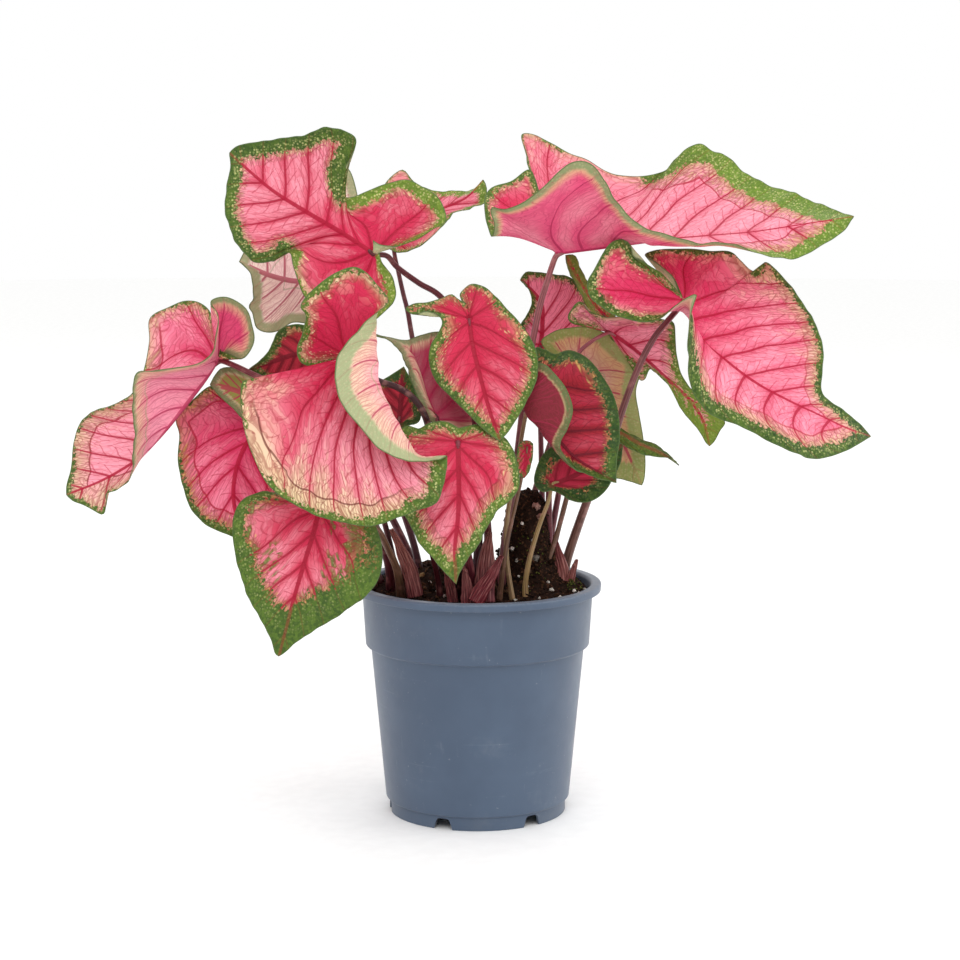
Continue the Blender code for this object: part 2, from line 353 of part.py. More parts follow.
# Stalks: points from below the blade's hub down to the soil, then the radius at the top and at the foot in mm.
STALKS = {
    "upper_left": ([(-43, 269.8, -6), (-38, 264.3, -3), (-28, 257, 1), (-17, 249.8, 3), (-6, 232, 5),
                    (0, 195, 7), (1, 150, 6), (-1, 106, 5)], 1.5, 2.6),
    "behind_left": ([(-72, 243, 33), (-61, 215, 32), (-46, 175, 27), (-32, 135, 22),
                     (-26, 108, 20)], 1.3, 2.2),
    "top_centre": ([(-39.5, 271, 53), (-37.6, 262, 48), (-35.4, 252, 43), (-33.2, 243, 38), (-31, 230, 33),
                    (-26, 205, 27), (-20, 160, 20), (-14, 107, 15)], 1.2, 2.2),
    "front": ([(-54, 214, -63), (-47, 210, -60), (-38, 206.8, -57), (-31, 202, -54), (-25.5, 194, -49),
               (-22, 181, -45), (-18, 155, -38), (-11, 125, -24), (-8, 104, -16)], 1.5, 2.8),
    "far_left": ([(-118, 218.2, -34), (-109, 214, -38), (-98, 208.5, -42), (-88, 201, -44), (-70, 180, -38),
                  (-55, 152, -26), (-44, 125, -10), (-42, 107, -4)], 1.5, 2.6),
    "lower_left": ([(-94, 181, -8), (-76, 160, -2), (-58, 135, 4), (-47, 112, 8)], 1.3, 2.2),
    "small_olive": ([(-94, 190, -25), (-78, 168, -16), (-62, 142, -6), (-52, 120, 2),
                     (-49, 106, 4)], 0.9, 1.5),
    "left_centre": ([(-74, 212, -2), (-60, 180, 6), (-46, 145, 14), (-38, 110, 18)], 1.1, 1.9),
    "lower_front": ([(-66, 149, -55), (-56, 145, -49), (-48.5, 138.3, -42), (-43.5, 129, -34),
                     (-39, 118, -24), (-37, 105, -14)], 1.4, 2.4),
    "front_centre": ([(-9, 165, -50), (-7, 140, -38), (-3, 115, -24), (-2, 103, -20)], 1.5, 2.6),
    "upper_centre": ([(-4.5, 228, -34), (-3.5, 208, -34), (-0.5, 185, -32), (4, 150, -20), (6, 120, -12),
                      (6, 104, -10)], 1.4, 2.4),
    "centre_back": ([(-19, 184, -38), (-17, 170, -32), (-13, 140, -19), (-9, 112, -7),
                     (-9, 104, -5)], 1.2, 2.0),
    "small_dark": ([(-34, 178, -40), (-28, 150, -30), (-20, 118, -16), (-18, 104, -14)], 1.0, 1.8),
    "dark_folded": ([(23, 193, -20), (19, 170, -16), (14.5, 145, -15), (14, 125, -16),
                     (17, 103, -17)], 1.1, 1.5),
    "small_lower": ([(34.3, 152, -11), (29.5, 139, -11), (25.3, 124, -11), (23.2, 112, -11),
                     (23.5, 103, -12)], 1.0, 1.7),
    "upper_right": ([(35.3, 264.5, 0), (33, 257, 1), (30, 247, 2), (26.5, 230, 3), (23.5, 212, 4),
                     (20.5, 185, 4), (17, 155, 2), (12.5, 125, 0), (12, 106, 0)], 1.6, 2.6),
    "right": ([(95.5, 244.5, -4.5), (90, 238, -7), (84.5, 231, -8), (79, 221, -7), (74, 209, -5),
               (69.5, 196, -4), (65, 182, -4), (57, 163, 3), (49, 141, 15), (43, 122, 23),
               (41.5, 110, 25)], 1.6, 2.8),
    "behind_stem": ([(30, 200, 44), (31, 160, 40), (32, 112, 37)], 1.3, 2.0),
    "slanting": ([(62.5, 238, 26), (61, 231, 34), (55, 200, 40), (42, 150, 38), (33, 112, 31)], 1.0, 1.6),
    "right_underside": ([(46, 196, 21), (39, 155, 22), (31, 110, 25)], 1.3, 2.2),
    "long_pink": ([(58, 231.2, 4.6), (53.5, 228.3, 5.4), (48.5, 223.5, 8), (43, 212, 9), (37, 190, 9), (34.5, 160, 11),
                   (34.8, 130, 14), (35.5, 112, 15)], 1.0, 2.2),
    "edge_on": ([(49, 180, 10), (41, 145, 9), (29.5, 108, 8)], 1.0, 1.6),
    "small_green": ([(23.2, 175, -26.6), (20.5, 160, -24), (14, 130, -22), (10.5, 103, -20)], 0.9, 1.5),
    "back_right": ([(38, 190, 64), (26, 150, 52), (20, 111, 44)], 1.4, 2.4),
    "back_left": ([(-68, 190, 58), (-42, 145, 46), (-26, 110, 38)], 1.4, 2.4),
    "back_centre": ([(3, 190, 48), (4, 150, 40), (6, 109, 34)], 1.3, 2.2),
}
# leaves whose stalk joins them from the front
STALK_IN_FRONT = ("behind_left", "centre_back", "right_underside", "small_olive", "long_pink", "back_right",
                  "back_left", "back_centre")

# Old sheaths: points along the middle line from the tip down to the soil, the greatest width and how thick, in mm.
SHEATHS = {
    "sheath_left": ([(-41, 137, -17), (-37, 128, -19), (-33, 118, -21), (-30, 105, -22)], 8.0, 1.6),
    "sheath_centre": ([(6, 137, -22), (4.5, 126, -24), (3.5, 114, -26), (3.2, 102.5, -26.8)], 10.4, 2.2),
    "sheath_front": ([(11, 124, -28), (7, 116, -31.5), (2, 108, -33), (-1.5, 102, -34.5)], 8.0, 1.6),
    "sheath_right": ([(37, 134, 19), (38.5, 127, 16), (40.5, 119, 12), (41, 108, 9)], 8.0, 1.6),
}
HOLE_DEPTH = 14.0 * MM        # how far a stalk goes into the soil
HOLE_EXTRA = 0.6 * MM         # the hole goes a little deeper than its stalk


def clear_scene():
    for obj in list(bpy.data.objects):
        bpy.data.objects.remove(obj, do_unlink=True)


def own_collection(name):
    """The collection that the plant's pieces go in."""
    collection = bpy.data.collections.new(name)
    bpy.context.scene.collection.children.link(collection)
    layer = bpy.context.view_layer.layer_collection.children[name]
    bpy.context.view_layer.active_layer_collection = layer


def finished(obj, material):
    """Gives a piece its material and smooth shading with its real edges kept sharp."""
    obj.data.materials.clear()
    obj.data.materials.append(material)
    obj.data.shade_smooth()
    obj.data.set_sharp_from_angle(angle=math.radians(40.0))


def material(name, colour, roughness):
    made = bpy.data.materials.new(name)
    made.use_nodes = True
    shader = made.node_tree.nodes["Principled BSDF"]
    shader.inputs["Base Color"].default_value = (*colour, 1.0)
    shader.inputs["Roughness"].default_value = roughness
    shader.inputs["Metallic"].default_value = 0.0
    return made


def mesh_object(name, bm):
    mesh = bpy.data.meshes.new(name)
    bmesh.ops.recalc_face_normals(bm, faces=bm.faces)
    bm.to_mesh(mesh)
    bm.free()
    obj = bpy.data.objects.new(name, mesh)
    bpy.context.collection.objects.link(obj)
    return obj


def apply_modifiers(obj):
    """Replaces the object's mesh by what its modifiers make of it."""
    graph = bpy.context.evaluated_depsgraph_get()
    mesh = bpy.data.meshes.new_from_object(obj.evaluated_get(graph))
    if obj.type == "MESH":
        obj.modifiers.clear()
        obj.data = mesh
        return obj
    name = obj.name
    bpy.data.objects.remove(obj, do_unlink=True)
    bm = bmesh.new()
    bm.from_mesh(mesh)
    bpy.data.meshes.remove(mesh)
    bmesh.ops.remove_doubles(bm, verts=bm.verts, dist=0.005 * MM)
    return mesh_object(name, bm)


def smooth_line(points, per_span=10):
    """A smooth curve through the points, as many short straight steps."""
    line = []
    for i in range(len(points) - 1):
        a = points[max(i - 1, 0)]
        b = points[i]
        c = points[i + 1]
        d = points[min(i + 2, len(points) - 1)]
        for k in range(per_span):
            t = k / per_span
            line.append(0.5 * (2.0 * b + (c - a) * t + (2.0 * a - 5.0 * b + 4.0 * c - d) * t * t
                               + (3.0 * b - 3.0 * c + d - a) * t * t * t))
    line.append(points[-1])
    return line


class Line:
    """A smooth line that gives the point at any share of its length, or of its spans."""

    def __init__(self, points, by_length=True):
        self.points = smooth_line(points)
        self.marks = [0.0]
        for a, b in zip(self.points, self.points[1:]):
            self.marks.append(self.marks[-1] + ((b - a).length if by_length else 1.0))

    def at(self, share):
        goal = min(max(share, 0.0), 1.0) * self.marks[-1]
        low = 0
        high = len(self.marks) - 1
        while high - low > 1:
            middle = (low + high) // 2
            if self.marks[middle] <= goal:
                low = middle
            else:
                high = middle
        span = max(self.marks[high] - self.marks[low], 1e-12)
        return self.points[low].lerp(self.points[high], (goal - self.marks[low]) / span)


RIB_EASE = 1.35               # how the rays from the rib bunch up near the hub


def half_surface(leaf, side):
    """The surface of one half: a function of the share along the margin and the share out from the rib."""
    hub = placed(leaf["hub"])
    sinus = placed(leaf["sinus"])
    tip = placed(leaf["rib"][-1])
    rib = Line([hub] + [placed(p) for p in leaf["rib"]])
    margin = Line([sinus] + [placed(p) for p in leaf[side]] + [tip])
    middle = None
    if side + "_mid" in leaf:
        row = [(hub + sinus) / 2.0] + [placed(p) for p in leaf[side + "_mid"]] + [tip]
        middle = Line(row, by_length=False)
    cup = Vector((leaf["cup"][0], leaf["cup"][2], leaf["cup"][1])) / 60.0
    share = leaf["hub_share"]

    def surface(along, out):
        start = rib.at(max(0.0, (along - share) / (1.0 - share)) ** RIB_EASE)
        end = margin.at(along)
        if middle:
            half = middle.at(along)
        else:
            half = (start + end) / 2.0 + cup * (end - start).length * min(1.0, 6.0 * along)
        return (start * (1.0 - 3.0 * out + 2.0 * out * out) + half * (4.0 * out - 4.0 * out * out)
                + end * (2.0 * out * out - out))

    return surface


def blade(name, leaf, along_steps, out_steps):
    """A leaf blade: two halves joined along the rib, thickened, with no sharp corners inside."""
    bm = bmesh.new()
    for side, turn in (("left", 1.0), ("right", -1.0)):
        surface = half_surface(leaf, side)
        grid = bmesh.ops.create_grid(bm, x_segments=along_steps, y_segments=out_steps, size=0.5)
        for vert in grid["verts"]:
            vert.co = surface(vert.co.x + 0.5, vert.co.y + 0.5)
        if turn < 0.0:
            faces = {face for vert in grid["verts"] for face in vert.link_faces}
            bmesh.ops.reverse_faces(bm, faces=list(faces))
    bmesh.ops.remove_doubles(bm, verts=bm.verts, dist=0.02 * MM)
    bmesh.ops.dissolve_degenerate(bm, edges=bm.edges, dist=0.02 * MM)
    bmesh.ops.triangulate(bm, faces=bm.faces)
    mesh = bpy.data.meshes.new(name)
    bm.to_mesh(mesh)
    bm.free()
    obj = bpy.data.objects.new(name, mesh)
    bpy.context.collection.objects.link(obj)
    solid = obj.modifiers.new("thickness", "SOLIDIFY")
    solid.thickness = BLADE_THICK
    solid.offset = 0.0
    solid.use_even_offset = False
    return apply_modifiers(obj)


def rod(name, points, top, foot, sides, grow=0.0):
    """A stalk: a tapered round rod along the points, which run from the top to the foot."""
    line = Line([placed(p) for p in points])
    steps = max(6, int(line.marks[-1] / (16.0 * MM)))
    data = bpy.data.curves.new(name, "CURVE")
    data.dimensions = "3D"
    data.bevel_depth = 1.0
    data.bevel_resolution = (sides - 4) // 2
    data.use_fill_caps = True
    data.render_resolution_u = 0
    spline = data.splines.new("POLY")
    spline.points.add(steps)
    for k in range(steps + 1):
        share = k / steps
        spline.points[k].co = (*line.at(share), 1.0)
        spline.points[k].radius = (top + (foot - top) * share ** 1.6) * MM + grow
    obj = bpy.data.objects.new(name, data)
    bpy.context.collection.objects.link(obj)
    return apply_modifiers(obj)


def stalk_line(name):
    """The stalk's points, from its blade's hub down."""
    points, top, foot = STALKS[name]
    right, up, back = LEAVES[name]["hub"]
    off = top + (BLADE_THICK / 2.0 + STALK_GAP) / MM
    if name in STALK_IN_FRONT:
        off = -off
    return [(right, up, back + off)] + points


def buried(points, extra=0.0):
    """The same line, carried on into the soil at its foot."""
    last = points[-1]
    before = points[-2]
    slope_right = (last[0] - before[0]) / (before[1] - last[1])
    slope_back = (last[2] - before[2]) / (before[1] - last[1])
    depth = (HOLE_DEPTH + extra) / MM
    foot = (last[0] + 0.6 * slope_right * depth, last[1] - depth, last[2] + 0.6 * slope_back * depth)
    return list(points) + [foot]


def soil_level(x, y):
    """Height of the soil's top."""
    radius = math.hypot(x, y)
    z = SOIL_FRONT_Z + SOIL_RISE * (y + BAND_LOW_RADIUS)
    z += 1.1 * MM * math.sin(x / (7.3 * MM) + 0.6) * math.cos(y / (6.1 * MM))
    z += 0.7 * MM * math.sin(x / (3.1 * MM)) * math.sin(y / (3.7 * MM) + 1.1)
    # the crown of the plant stands on a low mound
    z += 5.0 * MM * math.exp(-((x + 20.0 * MM) ** 2 + (y - 22.0 * MM) ** 2) / (20.0 * MM) ** 2)
    away = math.hypot(x - PLUG_AT[0], y - PLUG_AT[1]) / PLUG_RADIUS
    z += PLUG_HEIGHT / (1.0 + away ** 6)
    edge = min(1.0, max(0.0, (52.0 * MM - radius) / (6.0 * MM)))
    return z * edge + (SOIL_FRONT_Z + SOIL_RISE * (y + BAND_LOW_RADIUS)) * (1.0 - edge)


def pot_profile():
    """The pot's section: under the floor, down inside the foot, up outside to the rim, then down inside."""
    top = POT_HEIGHT
    rim_low = top - RIM_LIP
    outer = [
        (0.0, FLOOR_Z), (FOOT_RADIUS - WALL, FLOOR_Z),
        (FOOT_RADIUS - WALL, 0.0), (FOOT_RADIUS, 0.0), (FOOT_RADIUS, FOOT_HEIGHT),
        (BODY_LOW_RADIUS, FOOT_HEIGHT + 0.6 * MM), (BODY_TOP_RADIUS, BAND_LOW_Z - 0.8 * MM),
        (BAND_LOW_RADIUS, BAND_LOW_Z), (BAND_TOP_RADIUS, rim_low), (RIM_RADIUS - 0.5 * MM, rim_low),
        (RIM_RADIUS, rim_low + 0.8 * MM), (RIM_RADIUS, top - 1.2 * MM), (RIM_RADIUS - 1.2 * MM, top),
    ]
    inner = [
        (BAND_TOP_RADIUS - 0.4 * MM, top), (BAND_TOP_RADIUS - WALL, top - 1.4 * MM),
        (BAND_LOW_RADIUS - WALL, BAND_LOW_Z + 0.6 * MM), (BODY_TOP_RADIUS - WALL, BAND_LOW_Z - 1.6 * MM),
        (BODY_LOW_RADIUS - WALL, FLOOR_Z + WALL + 2.0 * MM), (BODY_LOW_RADIUS - WALL - 2.0 * MM, FLOOR_Z + WALL),
        (0.0, FLOOR_Z + WALL),
    ]
    return outer + inner


def turned(name, profile):
    """A body of revolution round Z from a section given as (radius, height), both ends on the axis."""
    bm = bmesh.new()
    verts = [bm.verts.new((r, 0.0, z)) for r, z in profile]
    for a, b in zip(verts, verts[1:]):
        bm.edges.new((a, b))
    mesh = bpy.data.meshes.new(name)
    bm.to_mesh(mesh)
    bm.free()
    obj = bpy.data.objects.new(name, mesh)
    bpy.context.collection.objects.link(obj)
    screw = obj.modifiers.new("turn", "SCREW")
    screw.axis = "Z"
    screw.angle = 2.0 * math.pi
    screw.steps = POT_SIDES
    screw.render_steps = POT_SIDES
    screw.use_merge_vertices = True
    screw.merge_threshold = 1e-5
    screw.use_normal_calculate = True
    return apply_modifiers(obj)


def cut(obj, cutter):
    """Takes the cutter away from the object and removes the cutter."""
    boolean = obj.modifiers.new("cut", "BOOLEAN")
    boolean.operation = "DIFFERENCE"
    boolean.solver = "EXACT"
    boolean.object = cutter
    apply_modifiers(obj)
    bpy.data.objects.remove(cutter, do_unlink=True)


def triangulated(obj):
    """Splits the object's faces into triangles, with none that share an edge twice."""
    bm = bmesh.new()
    bm.from_mesh(obj.data)
    bmesh.ops.triangulate(bm, faces=bm.faces, quad_method="BEAUTY", ngon_method="EAR_CLIP")
    bm.to_mesh(obj.data)
    bm.free()


def notch(angle):
    """A cutter for one notch of the foot, narrower at the top."""
    bm = bmesh.new()
    half_low = NOTCH_WIDTH_LOW / 2.0
    half_top = NOTCH_WIDTH_TOP / 2.0
    round_z = NOTCH_HEIGHT - 2.2 * MM
    outline = [(-half_low - 0.4 * MM, -1.0 * MM), (half_low + 0.4 * MM, -1.0 * MM), (half_top + 0.9 * MM, round_z),
               (half_top * 0.62, NOTCH_HEIGHT - 0.3 * MM), (0.0, NOTCH_HEIGHT),
               (-half_top * 0.62, NOTCH_HEIGHT - 0.3 * MM), (-half_top - 0.9 * MM, round_z)]
    near = FOOT_RADIUS - 4.0 * MM
    far = FOOT_RADIUS + 4.0 * MM
    direction = Vector((math.sin(angle), -math.cos(angle), 0.0))
    across = Vector((math.cos(angle), math.sin(angle), 0.0))
    rings = []
    for reach in (near, far):
        rings.append([bm.verts.new(direction * reach + across * w + Vector((0.0, 0.0, z))) for w, z in outline])
    bm.faces.new(rings[0])
    bm.faces.new(list(reversed(rings[1])))
    for k in range(len(outline)):
        j = (k + 1) % len(outline)
        bm.faces.new((rings[0][j], rings[0][k], rings[1][k], rings[1][j]))
    return mesh_object("notch", bm)


def build_pot():
    pot = turned("pot", pot_profile())
    bm = bmesh.new()
    bm.from_mesh(pot.data)
    bmesh.ops.remove_doubles(bm, verts=bm.verts, dist=0.01 * MM)
    bmesh.ops.recalc_face_normals(bm, faces=bm.faces)
    bm.to_mesh(pot.data)
    bm.free()
    for angle in NOTCH_ANGLES:
        cut(pot, notch(angle))
    for k in range(7):
        spin = 2.0 * math.pi * k / 6.0
        ring = DRAIN_RING if k < 6 else 0.0
        bm = bmesh.new()
        bmesh.ops.create_cone(bm, cap_ends=True, segments=16, radius1=DRAIN_RADIUS, radius2=DRAIN_RADIUS,
                              depth=6.0 * MM)
        bmesh.ops.translate(bm, verts=bm.verts, vec=(ring * math.cos(spin), ring * math.sin(spin), FLOOR_Z))
        cut(pot, mesh_object("drain", bm))
    return pot


def build_soil():
    """The soil: fills the pot from its floor, with a hole for every stalk and sheath."""
    step = WALL + SOIL_GAP
    sides = 36
    lower = [(BODY_LOW_RADIUS - step - 2.2 * MM, FLOOR_Z + WALL + 0.3 * MM),
             (BODY_LOW_RADIUS - step - 0.3 * MM, FLOOR_Z + WALL + 2.4 * MM),
             (BODY_TOP_RADIUS - step - 0.2 * MM, BAND_LOW_Z - 1.8 * MM),
             (BAND_LOW_RADIUS - step - 0.2 * MM, BAND_LOW_Z + 0.4 * MM)]
    bm = bmesh.new()
    rings = []
    for radius, z in lower:
        rings.append([bm.verts.new((radius * math.cos(2 * math.pi * k / sides),
                                    radius * math.sin(2 * math.pi * k / sides), z)) for k in range(sides)])
    tops = 10
    outer = BAND_LOW_RADIUS - step + 0.9 * MM
    for j in range(tops):
        radius = outer * (1.0 - j / tops)
        ring = []
        for k in range(sides):
            x = radius * math.cos(2 * math.pi * k / sides)
            y = radius * math.sin(2 * math.pi * k / sides)
            ring.append(bm.verts.new((x, y, soil_level(x, y))))
        rings.append(ring)
    for low, high in zip(rings, rings[1:]):
        for k in range(sides):
            j = (k + 1) % sides
            bm.faces.new((low[k], low[j], high[j], high[k]))
    bm.faces.new(list(reversed(rings[0])))
    centre = bm.verts.new((0.0, 0.0, soil_level(0.0, 0.0)))
    for k in range(sides):
        bm.faces.new((rings[-1][k], rings[-1][(k + 1) % sides], centre))
    bmesh.ops.triangulate(bm, faces=bm.faces)
    return mesh_object("soil", bm)


def sheath(name, points, width, thick, grow=0.0):
    """An old sheath: a flat pointed strip that widens towards the soil."""
    line = Line([placed(p) for p in points])
    steps = 10
    rings = []
    bm = bmesh.new()
    for k in range(steps + 1):
        share = k / steps
        centre = line.at(share)
        half_wide = (0.6 + (width / 2.0 - 0.6) * min(1.0, share * 1.8) ** 0.8) * MM + grow
        half_thick = (0.45 + (thick / 2.0 - 0.45) * share) * MM + grow
        ring = []
        for j in range(10):
            turn = 2.0 * math.pi * j / 10
            bend = 0.10 * half_wide * math.cos(2.0 * turn)
            ring.append(bm.verts.new(centre + Vector((half_wide * math.cos(turn),
                                                      half_thick * math.sin(turn) - bend, 0.0))))
        rings.append(ring)
    bm.faces.new(rings[0])
    bm.faces.new(list(reversed(rings[-1])))
    for low, high in zip(rings, rings[1:]):
        for j in range(10):
            i = (j + 1) % 10
            bm.faces.new((low[i], low[j], high[j], high[i]))
    bmesh.ops.triangulate(bm, faces=bm.faces)
    return mesh_object(name, bm)


# steps along and out for each half of a blade
BLADE_STEPS = {"upper_right": (30, 3), "right": (30, 3), "front": (30, 4), "far_left": (28, 3),
               "upper_left": (26, 3), "upper_centre": (18, 3), "front_centre": (16, 3), "lower_front": (16, 3),
               "dark_folded": (16, 3), "lower_left": (16, 3), "long_pink": (18, 3), "right_underside": (16, 3)}
PLAIN_STEPS = (13, 2)
GREEN_LEAVES = ("lower_front", "small_olive", "edge_on", "small_green", "slanting")


def build():
    clear_scene()
    own_collection("potted_caladium")
    plastic = material("pot_plastic", (0.115, 0.156, 0.209), 0.42)
    peat = material("soil", (0.020, 0.013, 0.009), 0.95)
    pink_leaf = material("pink_leaf", (0.62, 0.10, 0.17), 0.5)
    green_leaf = material("green_leaf", (0.10, 0.20, 0.05), 0.5)
    stalk_skin = material("stalk_skin", (0.13, 0.035, 0.035), 0.4)
    sheath_skin = material("sheath_skin", (0.20, 0.05, 0.05), 0.6)
    finished(build_pot(), plastic)
    soil = build_soil()
    for name, (points, top, foot) in STALKS.items():
        cut(soil, rod("hole", buried(stalk_line(name), HOLE_EXTRA), top, foot, 6, STEM_CLEAR))
    for name, (points, width, thick) in SHEATHS.items():
        cut(soil, sheath("hole", buried(points, HOLE_EXTRA), width, thick, STEM_CLEAR))
    triangulated(soil)
    finished(soil, peat)
    for name, (points, top, foot) in STALKS.items():
        finished(rod("stalk_" + name, buried(stalk_line(name)), top, foot, 6), stalk_skin)
    for name, (points, width, thick) in SHEATHS.items():
        finished(sheath(name, buried(points), width, thick), sheath_skin)
    for name, leaf in LEAVES.items():
        along, out = BLADE_STEPS.get(name, PLAIN_STEPS)
        skin = green_leaf if name in GREEN_LEAVES else pink_leaf
        finished(blade("blade_" + name, leaf, along, out), skin)


build()
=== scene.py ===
import math
import random

import bmesh
import bpy
import numpy as np
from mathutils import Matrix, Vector, noise


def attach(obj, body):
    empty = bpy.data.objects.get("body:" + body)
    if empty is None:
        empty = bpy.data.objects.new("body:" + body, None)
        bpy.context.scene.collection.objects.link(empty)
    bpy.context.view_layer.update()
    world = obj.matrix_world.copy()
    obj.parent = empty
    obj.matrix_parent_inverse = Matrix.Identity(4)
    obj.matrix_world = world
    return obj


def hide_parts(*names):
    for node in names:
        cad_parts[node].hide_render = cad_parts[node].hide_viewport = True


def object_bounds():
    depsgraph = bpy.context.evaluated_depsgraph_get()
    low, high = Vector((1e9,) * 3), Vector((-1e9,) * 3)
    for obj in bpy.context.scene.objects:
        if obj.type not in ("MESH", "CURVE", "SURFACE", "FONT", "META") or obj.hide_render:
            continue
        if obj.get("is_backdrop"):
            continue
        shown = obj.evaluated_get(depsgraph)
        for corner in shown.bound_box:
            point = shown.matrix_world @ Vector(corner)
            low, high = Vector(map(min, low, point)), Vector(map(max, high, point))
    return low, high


# Potted caladium: the looks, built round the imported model. Metres, Z up, the front is -Y.
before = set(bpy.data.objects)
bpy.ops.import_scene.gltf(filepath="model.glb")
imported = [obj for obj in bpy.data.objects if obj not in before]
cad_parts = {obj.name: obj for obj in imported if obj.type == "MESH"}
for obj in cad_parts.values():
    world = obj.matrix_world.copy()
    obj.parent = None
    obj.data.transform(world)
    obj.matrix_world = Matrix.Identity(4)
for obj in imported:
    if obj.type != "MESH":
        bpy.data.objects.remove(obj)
cadLow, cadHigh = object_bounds()
print("packed model loaded,", len(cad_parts), "nodes")

mm = 0.001
scene = bpy.context.scene


# sRGB hex to the linear colour that a shader takes
def linear(hexColour):
    parts = [int(hexColour[k:k + 2], 16) / 255.0 for k in (1, 3, 5)]
    return tuple(c / 12.92 if c <= 0.04045 else ((c + 0.055) / 1.055) ** 2.4 for c in parts) + (1.0,)


# adds a node; settings by attribute name, links by input name or number: a socket or a plain value
def addNode(tree, kind, settings=None, links=None):
    node = tree.nodes.new(kind)
    for key, value in (settings or {}).items():
        setattr(node, key, value)
    for key, value in (links or {}).items():
        if isinstance(value, bpy.types.NodeSocket):
            tree.links.new(value, node.inputs[key])
        else:
            node.inputs[key].default_value = value
    return node


def newMaterial(name):
    material = bpy.data.materials.new(name)
    material.use_nodes = True
    tree = material.node_tree
    return material, tree, tree.nodes["Principled BSDF"]


# short forms of the maths that the patterns are written in
def sums(tree):
    def calc(operation, a, b=0.0, c=0.0):
        node = addNode(tree, "ShaderNodeMath", {"operation": operation}, {0: a, 1: b, 2: c})
        return node.outputs[0]

    def ramp(value, low, high, start=0.0, end=1.0):
        node = addNode(tree, "ShaderNodeMapRange", {"interpolation_type": "SMOOTHSTEP"},
                       {"Value": value, "From Min": low, "From Max": high, "To Min": start, "To Max": end})
        return node.outputs["Result"]

    def blend(share, a, b):
        node = addNode(tree, "ShaderNodeMix", {"data_type": "RGBA"})
        for key, value in ((0, share), (6, a), (7, b)):
            if isinstance(value, bpy.types.NodeSocket):
                tree.links.new(value, node.inputs[key])
            else:
                node.inputs[key].default_value = value
        return node.outputs[2]

    return calc, ramp, blend


def linkedObject(name, mesh):
    obj = bpy.data.objects.new(name, mesh)
    scene.collection.objects.link(obj)
    return obj


def meshFrom(name, points, faces, smooth=True):
    mesh = bpy.data.meshes.new(name)
    mesh.from_pydata([tuple(p) for p in points], [], faces)
    mesh.validate()
    if smooth:
        mesh.shade_smooth()
    return mesh


# one vector a point, for the material to read
def writeField(mesh, name, values):
    field = mesh.attributes.new(name, "FLOAT_VECTOR", "POINT")
    field.data.foreach_set("vector", np.asarray(values, np.float32).ravel())


# the piece stands for its solid, on the one body
def settle(obj, node):
    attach(obj, "root")
    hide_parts(node)


# The table below gives points as (right, up, back) in mm: where a point is seen on the upright plane through
# the pot's axis from the viewpoint, and how far it lies behind that plane.
viewpoint = {"right": 1.2, "front": 1200.0, "up": 338.0}


# world positions of (right, up, back) points
def placed(points):
    points = np.atleast_2d(np.array(points, float))
    reach = 1.0 + points[:, 2] / viewpoint["front"]
    x = viewpoint["right"] + (points[:, 0] - viewpoint["right"]) * reach
    z = viewpoint["up"] + (points[:, 1] - viewpoint["up"]) * reach
    return np.stack([x, points[:, 2], z], axis=1) * mm


# a Catmull-Rom curve through the points
def smoothLine(points, perSpan=16):
    points = np.asarray(points, float)
    a = points[np.maximum(np.arange(len(points) - 1) - 1, 0)]
    b = points[:-1]
    c = points[1:]
    d = points[np.minimum(np.arange(len(points) - 1) + 2, len(points) - 1)]
    t = (np.arange(perSpan) / perSpan)[None, :, None]
    a, b, c, d = (v[:, None, :] for v in (a, b, c, d))
    line = 0.5 * (2 * b + (c - a) * t + (2 * a - 5 * b + 4 * c - d) * t * t + (3 * b - 3 * c + d - a) * t ** 3)
    return np.vstack([line.reshape(-1, 3), points[-1:]])


# positions at shares of a smooth curve's length, or of its spans
def sampled(points, shares, byLength=True):
    line = smoothLine(points)
    if byLength:
        marks = np.concatenate([[0.0], np.cumsum(np.linalg.norm(np.diff(line, axis=0), axis=1))])
    else:
        marks = np.arange(len(line), dtype=float)
    goal = np.clip(shares, 0.0, 1.0) * marks[-1]
    return np.stack([np.interp(goal, marks, line[:, k]) for k in range(3)], axis=1)


# Camera, as fitted to the pot's rim, band and foot in the photograph
cameraMake = {"eye": (1.2 * mm, -1200 * mm, 338 * mm), "downTilt": 0.1455, "lens": 94.43, "sensor": 36.0}
cameraData = bpy.data.cameras.new("camera")
cameraData.lens = cameraMake["lens"]
cameraData.sensor_width = cameraMake["sensor"]
cameraData.clip_end = 20.0
camera = bpy.data.objects.new("camera", cameraData)
camera.location = cameraMake["eye"]
camera.rotation_euler = (math.pi / 2 - cameraMake["downTilt"], 0.0, 0.0)
scene.collection.objects.link(camera)
scene.camera = camera

